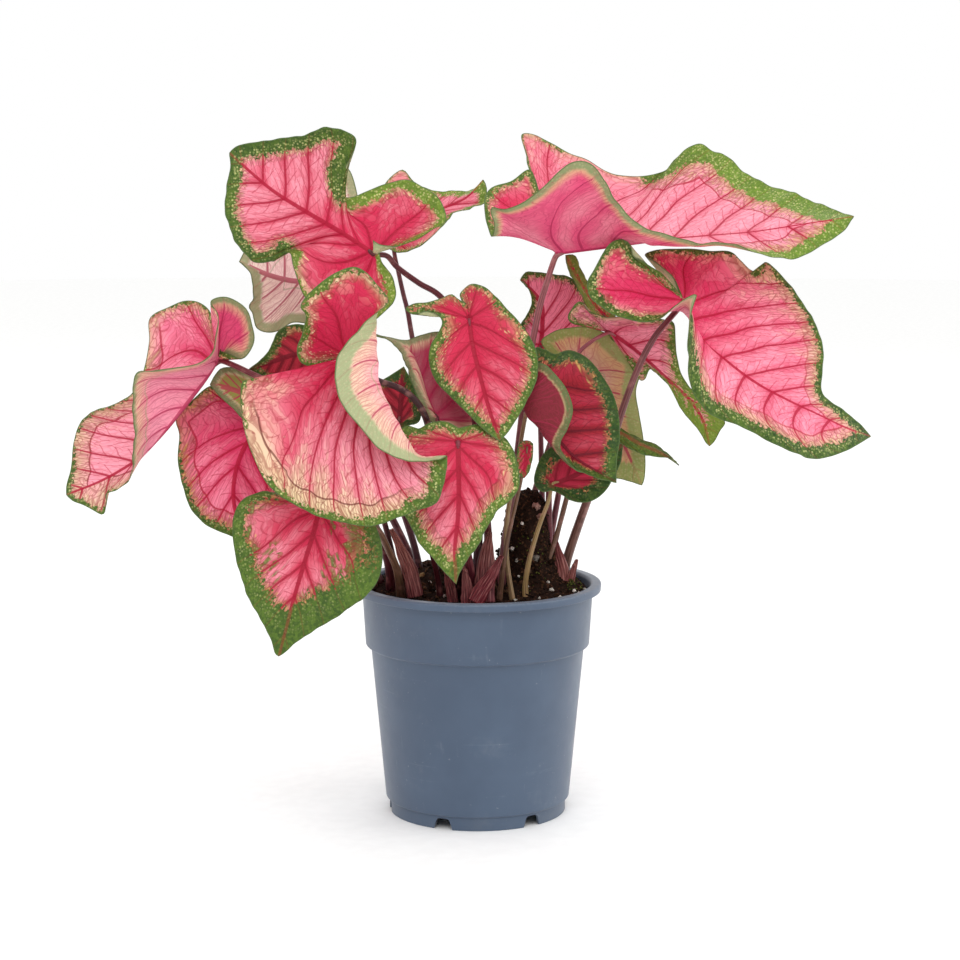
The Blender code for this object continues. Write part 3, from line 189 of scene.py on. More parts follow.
# Light tent: bright all round, a large soft key from above in front, a weaker one from the right side
studio = {
    "world": 1.0,
    "lights": {
        "key": {"at": (-0.10, -1.36, 1.35), "size": 0.9, "power": 8.0},
        "fill": {"at": (1.40, -0.10, 0.70), "size": 1.0, "power": 5.0},
        "back": {"at": (0.3, 1.2, 1.4), "size": 1.0, "power": 4.0},
    },
    "target": (0.0, 0.0, 0.19),
    "floorRadius": 4.0,
}
scene.view_settings.view_transform = "Standard"
world = bpy.data.worlds.new("lightTent")
world.use_nodes = True
world.node_tree.nodes["Background"].inputs[0].default_value = linear("#ffffff")
world.node_tree.nodes["Background"].inputs[1].default_value = studio["world"]
scene.world = world
for lightName, light in studio["lights"].items():
    lightData = bpy.data.lights.new(lightName, "AREA")
    lightData.size = light["size"]
    lightData.energy = light["power"]
    lamp = bpy.data.objects.new(lightName, lightData)
    lamp.location = light["at"]
    lamp.rotation_euler = (Vector(studio["target"]) - Vector(light["at"])).to_track_quat("-Z", "Y").to_euler()
    scene.collection.objects.link(lamp)

floorMaterial, tree, surface = newMaterial("matteWhitePaper")      # seamless studio paper: no gloss, faint mottling
grain = addNode(tree, "ShaderNodeTexNoise", None, {"Scale": 900.0, "Detail": 2.0})
calc, ramp, blend = sums(tree)
tree.links.new(blend(ramp(grain.outputs[0], 0.35, 0.65), linear("#fbfbfa"), linear("#fefefd")),
               surface.inputs["Base Color"])
surface.inputs["Roughness"].default_value = 0.9
bpy.ops.mesh.primitive_circle_add(vertices=96, radius=studio["floorRadius"], fill_type="NGON", location=(0, 0, 0))
floor = bpy.context.object
floor.name = "floor"
floor.data.materials.append(floorMaterial)
floor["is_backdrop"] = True
print("camera, lights and floor")


# three parts of a vector that the mesh carries
def fieldParts(tree, name):
    attribute = addNode(tree, "ShaderNodeAttribute", {"attribute_name": name})
    parts = addNode(tree, "ShaderNodeSeparateXYZ", None, {0: attribute.outputs["Vector"]})
    return parts.outputs[0], parts.outputs[1], parts.outputs[2]


# Caladium leaf: a thin blade of soft living tissue with a dull waxy skin. Side veins fork into slanting cross
# veins, and those into a net whose patches take the colours, so every zone ends in ragged specks. Sizes in mm:
leafSkin = {
    "patchLong": 2.9, "patchesAcross": 6.0,         # net between side veins: length, and number from vein to vein
    "streakLong": 1.9, "streaksAcross": 12.0,       # cream specks near the margin, drawn out towards it
    "dot": 1.15,                                    # light dots in the green band
    "veinSoft": 0.30, "sideVein": 0.46, "sideVeinEnd": 0.14, "ribVein": 1.0, "crossVein": 6.0, "bumpHeight": 0.13,
    "fineVeins": ((3.0, 1.7, 0.17, 0.10), (8.0, 2.6, 0.12, 0.50)),      # number, shake, half width, where it starts
    "pinkDeep": "#d32752", "pinkPale": "#fda3b4", "crimson": "#981228", "warm": "#9c4630", "rose": "#ef5f95",
    "vein": "#ad1235", "veinBrown": "#853234", "veinOlive": "#67432a", "gather": "#5f2c22",
    "cream": "#f8e0b8", "tan": "#c9a05c", "greenDark": "#2c461d", "greenBright": "#7d9a37", "greenFleck": "#d2d18a",
    "rim": "#566a40",
    "underDeep": "#dc4c74", "underPale": "#f6b6bc", "underVein": "#ae2750", "underGreen": "#a7b587",
    "underCream": "#e9d3ae", "underOlive": "#83903f", "underCrimson": "#70262a",
}


# the pattern that both faces share: lines of side veins and rib, patches and their outlines
def leafPattern(tree):
    calc, ramp, blend = sums(tree)
    order, signedReach, spacing = fieldParts(tree, "veins")
    edge, rib, hub = fieldParts(tree, "places")
    place = addNode(tree, "ShaderNodeTexCoord").outputs["Object"]
    reach = calc("ABSOLUTE", signedReach)
    turn = calc("SUBTRACT", calc("FRACT", calc("ADD", order, 0.5)), 0.5)
    apart = calc("ABSOLUTE", turn)
    fromVein = calc("MULTIPLY", apart, spacing)
    outShare = calc("DIVIDE", reach, calc("ADD", calc("ADD", reach, edge), 0.01))
    panel = ramp(apart, 0.02, 0.40)
    half = ramp(outShare, 0.0, 0.95, leafSkin["sideVein"], leafSkin["sideVeinEnd"])
    half = calc("MINIMUM", half, calc("MULTIPLY", spacing, 0.10))
    sideLine = ramp(calc("SUBTRACT", fromVein, half), 0.0, leafSkin["veinSoft"], 1.0, 0.0)
    sideGlow = ramp(fromVein, 0.0, calc("SUBTRACT", 2.8, calc("MULTIPLY", outShare, 1.6)), 1.0, 0.0)
    ribHalf = ramp(hub, 0.0, 110.0, leafSkin["ribVein"], 0.25)
    ribLine = ramp(calc("SUBTRACT", rib, ribHalf), 0.0, 0.4, 1.0, 0.0)
    ribGlow = ramp(rib, 0.0, 5.0, 1.0, 0.0)
    # cross veins leave a side vein slantwise towards the margin, in turn on its two sides
    wobble = addNode(tree, "ShaderNodeTexNoise", None, {"Vector": place, "Scale": 1000.0 / 9.0, "Detail": 2.0})
    slant = calc("MULTIPLY", calc("MULTIPLY", calc("SUBTRACT", 0.5, apart), spacing), 1.5)
    steps = calc("DIVIDE", calc("ADD", reach, slant), leafSkin["crossVein"])
    steps = calc("ADD", steps, calc("MULTIPLY", wobble.outputs[0], 0.8))
    steps = calc("ADD", steps, calc("MULTIPLY", calc("SIGN", turn), 0.25))
    crossLine = calc("ABSOLUTE", calc("SUBTRACT", calc("FRACT", steps), 0.5))
    crossLine = calc("MULTIPLY", ramp(crossLine, 0.015, 0.085, 1.0, 0.0), ramp(spacing, 5.0, 10.0))
    crossLine = calc("MULTIPLY", crossLine, ramp(edge, 1.0, 7.0))
    # fine veins run out beside the side veins, more of them towards the margin
    fine = 0.0
    for times, shift, width, start in leafSkin["fineVeins"]:
        across = calc("ADD", calc("MULTIPLY", order, times), calc("MULTIPLY", wobble.outputs[0], shift))
        away = calc("ABSOLUTE", calc("SUBTRACT", calc("FRACT", across), 0.5))
        away = calc("MULTIPLY", away, calc("DIVIDE", spacing, times))
        line = ramp(away, width * 0.5, width + 0.25, 1.0, 0.0)
        begins = calc("ADD", outShare, calc("MULTIPLY", calc("SUBTRACT", wobble.outputs[0], 0.5), 0.6))
        fine = calc("MAXIMUM", calc("MULTIPLY", line, ramp(begins, start, start + 0.25)), fine)
    fine = calc("MULTIPLY", fine, ramp(spacing, 2.0, 5.0))
    # the net, in steps of the way from vein to vein and of the way out
    shake = calc("MULTIPLY", calc("SUBTRACT", wobble.outputs[0], 0.5), 3.0)
    netPlace = addNode(tree, "ShaderNodeCombineXYZ", None, {
        0: calc("ADD", calc("MULTIPLY", order, leafSkin["patchesAcross"]), shake),
        1: calc("ADD", calc("MULTIPLY", signedReach, 1.0 / leafSkin["patchLong"]), shake)})
    patches = addNode(tree, "ShaderNodeTexVoronoi", None, {"Vector": netPlace.outputs[0], "Scale": 1.0})
    outlines = addNode(tree, "ShaderNodeTexVoronoi", {"feature": "DISTANCE_TO_EDGE"},
                       {"Vector": netPlace.outputs[0], "Scale": 1.0})
    net = ramp(outlines.outputs["Distance"], 0.01, 0.14, 1.0, 0.0)
    parts = addNode(tree, "ShaderNodeSeparateColor", None, {0: patches.outputs["Color"]})
    streakPlace = addNode(tree, "ShaderNodeCombineXYZ", None, {
        0: calc("MULTIPLY", order, leafSkin["streaksAcross"]),
        1: calc("ADD", calc("MULTIPLY", signedReach, 1.0 / leafSkin["streakLong"]), calc("MULTIPLY", shake, 0.4))})
    streaks = addNode(tree, "ShaderNodeTexVoronoi", None, {"Vector": streakPlace.outputs[0], "Scale": 1.0})
    streakParts = addNode(tree, "ShaderNodeSeparateColor", None, {0: streaks.outputs["Color"]})
    dots = addNode(tree, "ShaderNodeTexVoronoi", None, {"Vector": place, "Scale": 1000.0 / leafSkin["dot"]})
    dotParts = addNode(tree, "ShaderNodeSeparateColor", None, {0: dots.outputs["Color"]})
    dot = calc("MULTIPLY", ramp(dots.outputs["Distance"], 0.20, 0.62, 1.0, 0.0),
               ramp(dotParts.outputs[0], 0.05, 0.90))
    jaggedPlace = addNode(tree, "ShaderNodeCombineXYZ", None,
                          {0: calc("MULTIPLY", order, 8.0), 1: calc("MULTIPLY", signedReach, 0.12)})
    jagged = addNode(tree, "ShaderNodeTexNoise", None, {"Vector": jaggedPlace.outputs[0], "Scale": 1.0,
                                                       "Detail": 3.0, "Roughness": 0.6})
    dot = calc("MULTIPLY", dot, ramp(jagged.outputs[0], 0.36, 0.58, 0.35, 1.0))
    cloud = addNode(tree, "ShaderNodeTexNoise", None, {"Vector": place, "Scale": 1000.0 / 22.0, "Detail": 3.0})
    return {"order": order, "reach": reach, "spacing": spacing, "edge": edge, "rib": rib, "hub": hub,
            "outShare": outShare, "panel": panel, "sideLine": sideLine, "sideGlow": sideGlow, "ribLine": ribLine,
            "ribGlow": ribGlow, "crossLine": crossLine, "fine": fine, "net": net, "dot": dot,
            "dotTone": dotParts.outputs[1], "streak": streaks.outputs["Distance"],
            "streakTone": streakParts.outputs[0], "patchOne": parts.outputs[0], "patchTwo": parts.outputs[1],
            "patchThree": parts.outputs[2], "jagged": jagged.outputs[0], "cloud": cloud.outputs[0]}


# how far a point lies in the green band, in the specked zone inside it, and in the pale part of the panels
def leafZones(tree, p, raggedness):
    calc, ramp, blend = sums(tree)
    mottle = fieldParts(tree, "tones")[2]
    green, cream, creamIn = fieldParts(tree, "zones")
    bow = calc("MULTIPLY", calc("MULTIPLY", p["spacing"], 0.07), calc("SUBTRACT", p["panel"], 0.5))
    inward = calc("ADD", p["edge"], bow)
    rough = calc("MULTIPLY", calc("SUBTRACT", p["jagged"], 0.5), 4.2 * raggedness)
    rough = calc("ADD", rough, calc("MULTIPLY", calc("SUBTRACT", p["dotTone"], 0.5), 2.2 * raggedness))
    rough = calc("ADD", rough, calc("MULTIPLY", calc("SUBTRACT", p["patchOne"], 0.5), 1.2 * raggedness))
    rough = calc("MULTIPLY", rough, calc("ADD", 1.0, calc("MULTIPLY", mottle, 1.8)))
    greenHere = ramp(calc("SUBTRACT", calc("ADD", inward, rough), green), -0.45, 0.45, 1.0, 0.0)
    greenHere = calc("MULTIPLY", greenHere, ramp(green, 0.05, 0.6))
    zoneEnd = calc("ADD", green, cream)
    past = calc("SUBTRACT", calc("ADD", inward, calc("MULTIPLY", rough, 0.35)), zoneEnd)
    zoneHere = calc("MULTIPLY", ramp(past, -0.6, 0.9, 1.0, 0.0), ramp(cream, 0.3, 1.2))
    zoneShare = calc("DIVIDE", calc("SUBTRACT", inward, green), calc("ADD", cream, 0.1))
    gather = calc("MULTIPLY", ramp(calc("ABSOLUTE", calc("SUBTRACT", inward, zoneEnd)), 0.18, 0.6, 1.0, 0.0),
                  ramp(cream, 4.8, 6.0))
    spot = calc("ADD", calc("MULTIPLY", p["panel"], 0.16), calc("MULTIPLY", p["outShare"], 0.74))
    spot = calc("ADD", spot, calc("MULTIPLY", calc("SUBTRACT", p["patchThree"], 0.5), 0.14))
    spot = calc("ADD", spot, calc("MULTIPLY", calc("SUBTRACT", p["cloud"], 0.5), 0.3))
    inner = ramp(calc("SUBTRACT", spot, calc("SUBTRACT", 1.0, creamIn)), -0.28, 0.30)
    return green, cream, greenHere, zoneHere, zoneShare, gather, calc("MULTIPLY", inner, ramp(p["rib"], 1.0, 6.0))


bladeTop, tree, surface = newMaterial("caladiumLeafUpper")
calc, ramp, blend = sums(tree)
p = leafPattern(tree)
green, cream, greenHere, zoneHere, zoneShare, gather, inner = leafZones(tree, p, 1.0)
pale, crimson, mottle = fieldParts(tree, "tones")
leafy, tan, brown = fieldParts(tree, "hues")
tone = calc("ADD", calc("MULTIPLY", p["panel"], 0.22), calc("MULTIPLY", calc("SUBTRACT", p["cloud"], 0.5), 0.5))
tone = calc("ADD", tone, calc("SUBTRACT", calc("MULTIPLY", pale, 1.2), 0.42))
tone = calc("ADD", tone, calc("MULTIPLY", ramp(p["hub"], 2.0, 50.0), 0.46))
tone = calc("ADD", tone, calc("MULTIPLY", calc("SUBTRACT", p["patchThree"], 0.5), 0.20))
tone = calc("SUBTRACT", tone, calc("MULTIPLY", p["ribGlow"], 0.16))
colour = blend(ramp(tone, 0.0, 1.0), linear(leafSkin["pinkDeep"]), linear(leafSkin["pinkPale"]))
# the crimson share darkens the face to deep red: a red leaf's own colour, and painted shade on leaves that lie in
# shade
colour = blend(calc("MULTIPLY", crimson, ramp(p["panel"], 0.0, 1.0, 1.15, 0.75)), colour,
               linear(leafSkin["crimson"]))
colour = blend(calc("MULTIPLY", brown, 0.6), colour, linear(leafSkin["warm"]))
colour = blend(calc("MULTIPLY", brown, -0.8), colour, linear(leafSkin["rose"]))
veinColour = blend(brown, linear(leafSkin["vein"]), linear(leafSkin["veinBrown"]))
veinColour = blend(calc("MULTIPLY", crimson, 0.9), veinColour, linear("#4a0a16"))
creamColour = blend(calc("ADD", tan, calc("MULTIPLY", calc("SUBTRACT", p["patchTwo"], 0.5), 0.25)),
                    linear(leafSkin["cream"]), linear(leafSkin["tan"]))
colour = blend(calc("MULTIPLY", inner, 0.92), colour, creamColour)
mottled = calc("ADD", calc("MULTIPLY", calc("SUBTRACT", p["cloud"], 0.5), 0.5),
               calc("MULTIPLY", calc("SUBTRACT", p["dotTone"], 0.5), 0.30))
greenColour = blend(calc("ADD", leafy, mottled), linear(leafSkin["greenDark"]), linear(leafSkin["greenBright"]))
# the specked zone: light specks drawn out towards the margin, over a dull olive pink
dull = blend(calc("ADD", 0.10, calc("MULTIPLY", calc("SUBTRACT", p["jagged"], 0.5), 1.4)), colour, greenColour)
dull = blend(ramp(zoneShare, 0.0, 0.7, 0.55, 0.0), dull, blend(0.35, creamColour, greenColour))
speckSize = calc("ADD", p["streak"], calc("MULTIPLY", zoneShare, 0.22))
speck = calc("MULTIPLY", ramp(speckSize, 0.22, 0.60, 1.0, 0.0), ramp(p["streakTone"], 0.08, 0.45))
filled = ramp(fieldParts(tree, "zones")[2], 0.08, 0.3, 0.0, 0.5)      # cells of a pale leaf run together
zoneColour = blend(calc("MAXIMUM", calc("MULTIPLY", speck, 0.95), filled), dull, creamColour)
colour = blend(zoneHere, colour, zoneColour)
blotch = calc("ADD", calc("MULTIPLY", p["cloud"], 0.75), calc("MULTIPLY", p["patchOne"], 0.38))
blotch = calc("SUBTRACT", calc("ADD", blotch, calc("MULTIPLY", p["outShare"], 0.34)),
              calc("SUBTRACT", 1.30, calc("MULTIPLY", mottle, 0.85)))
blotch = calc("MULTIPLY", ramp(blotch, -0.07, 0.08), ramp(p["rib"], 1.0, 6.0))
colour = blend(calc("MULTIPLY", blotch, 0.9), colour, blend(calc("MULTIPLY", p["dot"], 0.35), greenColour,
                                                             linear(leafSkin["greenFleck"])))
inBand = calc("DIVIDE", p["edge"], calc("ADD", green, 0.1))
dotStart = calc("SUBTRACT", 0.22, calc("MULTIPLY", leafy, 0.55))
dotShow = ramp(calc("SUBTRACT", inBand, dotStart), 0.0, 0.5, 0.10, 0.95)
dotShow = calc("MULTIPLY", dotShow, ramp(leafy, 0.05, 0.15, 0.15, 1.0))
dotShow = calc("MULTIPLY", dotShow, ramp(mottle, 0.1, 0.7, 1.0, 0.25))
bandColour = blend(calc("MULTIPLY", p["dot"], dotShow), greenColour, linear(leafSkin["greenFleck"]))
bandColour = blend(calc("MULTIPLY", calc("MAXIMUM", p["fine"], p["net"]), 0.18), bandColour,
                   linear(leafSkin["greenDark"]))
colour = blend(greenHere, colour, bandColour)
inside = calc("SUBTRACT", 1.0, greenHere)
fineColour = blend(calc("MULTIPLY", calc("MAXIMUM", inner, calc("MULTIPLY", zoneHere, 0.6)), 0.75), veinColour,
                   linear(leafSkin["veinOlive"]))
light = calc("MAXIMUM", inner, calc("MULTIPLY", zoneHere, 0.8))
netShow = calc("ADD", 0.22, calc("MULTIPLY", light, 0.40))
colour = blend(calc("MULTIPLY", calc("MULTIPLY", p["net"], netShow), inside), colour, fineColour)
colour = blend(calc("MULTIPLY", calc("MULTIPLY", p["crossLine"], 0.50), inside), colour, fineColour)
fineShow = calc("ADD", 0.38, calc("MULTIPLY", inner, 0.16))
colour = blend(calc("MULTIPLY", calc("MULTIPLY", p["fine"], fineShow), inside), colour, fineColour)
glow = calc("MULTIPLY", p["sideGlow"], calc("ADD", 0.26, calc("MULTIPLY", crimson, 0.4)))
colour = blend(calc("MULTIPLY", glow, inside), colour, veinColour)
gatherColour = blend(calc("MULTIPLY", brown, 6.0), veinColour, linear(leafSkin["gather"]))
colour = blend(calc("MULTIPLY", gather, 0.80), colour, gatherColour)
colour = blend(calc("MULTIPLY", calc("MULTIPLY", greenHere, inside), 1.4), colour, linear(leafSkin["veinBrown"]))
colour = blend(calc("MULTIPLY", p["sideLine"], ramp(greenHere, 0.0, 1.0, 0.86, 0.12)), colour, veinColour)
colour = blend(calc("MULTIPLY", p["ribLine"], ramp(greenHere, 0.0, 1.0, 0.92, 0.35)), colour, veinColour)
colour = blend(ramp(calc("ADD", p["edge"], calc("MULTIPLY", p["jagged"], 0.3)), 0.25, 0.75, 0.85, 0.0), colour,
               linear(leafSkin["rim"]))
tree.links.new(colour, surface.inputs["Base Color"])
tree.links.new(ramp(p["cloud"], 0.3, 0.7, 0.42, 0.54), surface.inputs["Roughness"])
surface.inputs["IOR"].default_value = 1.42
surface.inputs["Specular IOR Level"].default_value = 0.22      # the waxy bloom scatters most of the sheen
relief = calc("ADD", calc("MULTIPLY", p["net"], -0.35), calc("MULTIPLY", p["crossLine"], -0.7))
relief = calc("ADD", relief, calc("MULTIPLY", p["sideLine"], -1.0))
bump = addNode(tree, "ShaderNodeBump", None,
               {"Height": relief, "Distance": leafSkin["bumpHeight"] * mm, "Strength": 0.9})
tree.links.new(bump.outputs[0], surface.inputs["Normal"])

# the underside is duller and paler, without specks, and its veins stand out
bladeUnder, tree, surface = newMaterial("caladiumLeafUnder")
calc, ramp, blend = sums(tree)
p = leafPattern(tree)
green, cream, greenHere, zoneHere, zoneShare, gather, inner = leafZones(tree, p, 0.35)
pale, crimson, mottle = fieldParts(tree, "tones")
leafy, tan, brown = fieldParts(tree, "hues")
tone = calc("ADD", calc("MULTIPLY", p["panel"], 0.25), calc("MULTIPLY", calc("SUBTRACT", p["cloud"], 0.5), 0.7))
tone = calc("ADD", tone, calc("SUBTRACT", calc("MULTIPLY", pale, 1.1), 0.12))
tone = calc("SUBTRACT", tone, calc("MULTIPLY", p["ribGlow"], 0.15))
colour = blend(ramp(tone, 0.0, 1.0), linear(leafSkin["underDeep"]), linear(leafSkin["underPale"]))
# the crimson share darkens the underside to dark red: a red leaf's own colour, and painted shade on undersides that
# lie in shade
colour = blend(crimson, colour, linear(leafSkin["underCrimson"]))
colour = blend(calc("MULTIPLY", brown, -0.8), colour, linear(leafSkin["rose"]))
shade = calc("ADD", calc("MULTIPLY", p["cloud"], 0.5), mottle)
colour = blend(ramp(shade, 0.35, 0.95), colour, linear(leafSkin["underOlive"]))
creamColour = blend(tan, linear(leafSkin["underCream"]), linear(leafSkin["tan"]))
toMargin = ramp(calc("SUBTRACT", calc("ADD", p["edge"], calc("MULTIPLY", p["jagged"], 1.5)), green), 0.5,
                calc("ADD", calc("MULTIPLY", cream, 1.4), 1.5), 1.0, 0.0)
toMargin = calc("MULTIPLY", toMargin, ramp(p["sideGlow"], 0.0, 1.0, 0.95, 0.6))
colour = blend(calc("MULTIPLY", toMargin, 0.8), colour, creamColour)
colour = blend(ramp(pale, 0.9, 1.6, 0.0, 0.7), colour, linear("#fdf0e6"))      # painted glow: a pale tone above 0.9 turns the underside near white, standing in for light shining through the thin blade
greenColour = blend(leafy, linear("#66784a"), linear(leafSkin["underGreen"]))
greenColour = blend(ramp(tan, 0.65, 1.0), greenColour, linear("#8b9c36"))
greenColour = blend(calc("MULTIPLY", p["dot"], 0.25), greenColour, linear(leafSkin["underCream"]))
greenColour = blend(calc("MULTIPLY", crimson, 0.45), greenColour, linear("#33401f"))      # darker on a red leaf, and where shade is painted with the crimson share
soft = calc("SUBTRACT", calc("ADD", p["edge"], calc("MULTIPLY", calc("SUBTRACT", p["jagged"], 0.5), 3.0)), green)
colour = blend(calc("MULTIPLY", ramp(soft, -1.3, 0.9, 0.94, 0.0), ramp(green, 0.05, 0.6)), colour, greenColour)
veinColour = blend(brown, linear(leafSkin["underVein"]), linear(leafSkin["veinBrown"]))
veinShow = calc("MAXIMUM", calc("MULTIPLY", p["sideLine"], 0.8), calc("MULTIPLY", p["ribLine"], 0.8))
veinShow = calc("MAXIMUM", veinShow, calc("MULTIPLY", p["crossLine"], 0.30))
veinShow = calc("MAXIMUM", veinShow, calc("MULTIPLY", p["fine"], 0.48))
veinShow = calc("MAXIMUM", veinShow, calc("MULTIPLY", p["net"], 0.20))
veinShow = calc("MULTIPLY", veinShow, ramp(greenHere, 0.0, 1.0, 1.0, 0.25))
colour = blend(veinShow, colour, veinColour)
colour = blend(calc("MULTIPLY", gather, 0.45), colour, linear("#8c9a6c"))
colour = blend(ramp(p["edge"], 0.25, 0.7, 0.8, 0.0), colour, linear(leafSkin["rim"]))
tree.links.new(colour, surface.inputs["Base Color"])
surface.inputs["Roughness"].default_value = 0.6
surface.inputs["IOR"].default_value = 1.4
surface.inputs["Specular IOR Level"].default_value = 0.2
relief = calc("ADD", calc("MULTIPLY", p["net"], 0.3), calc("MULTIPLY", p["crossLine"], 0.8))
relief = calc("ADD", relief, calc("MULTIPLY", p["sideLine"], 1.0))
bump = addNode(tree, "ShaderNodeBump", None,
               {"Height": relief, "Distance": leafSkin["bumpHeight"] * mm, "Strength": 0.9})
tree.links.new(bump.outputs[0], surface.inputs["Normal"])
print("leaf materials")


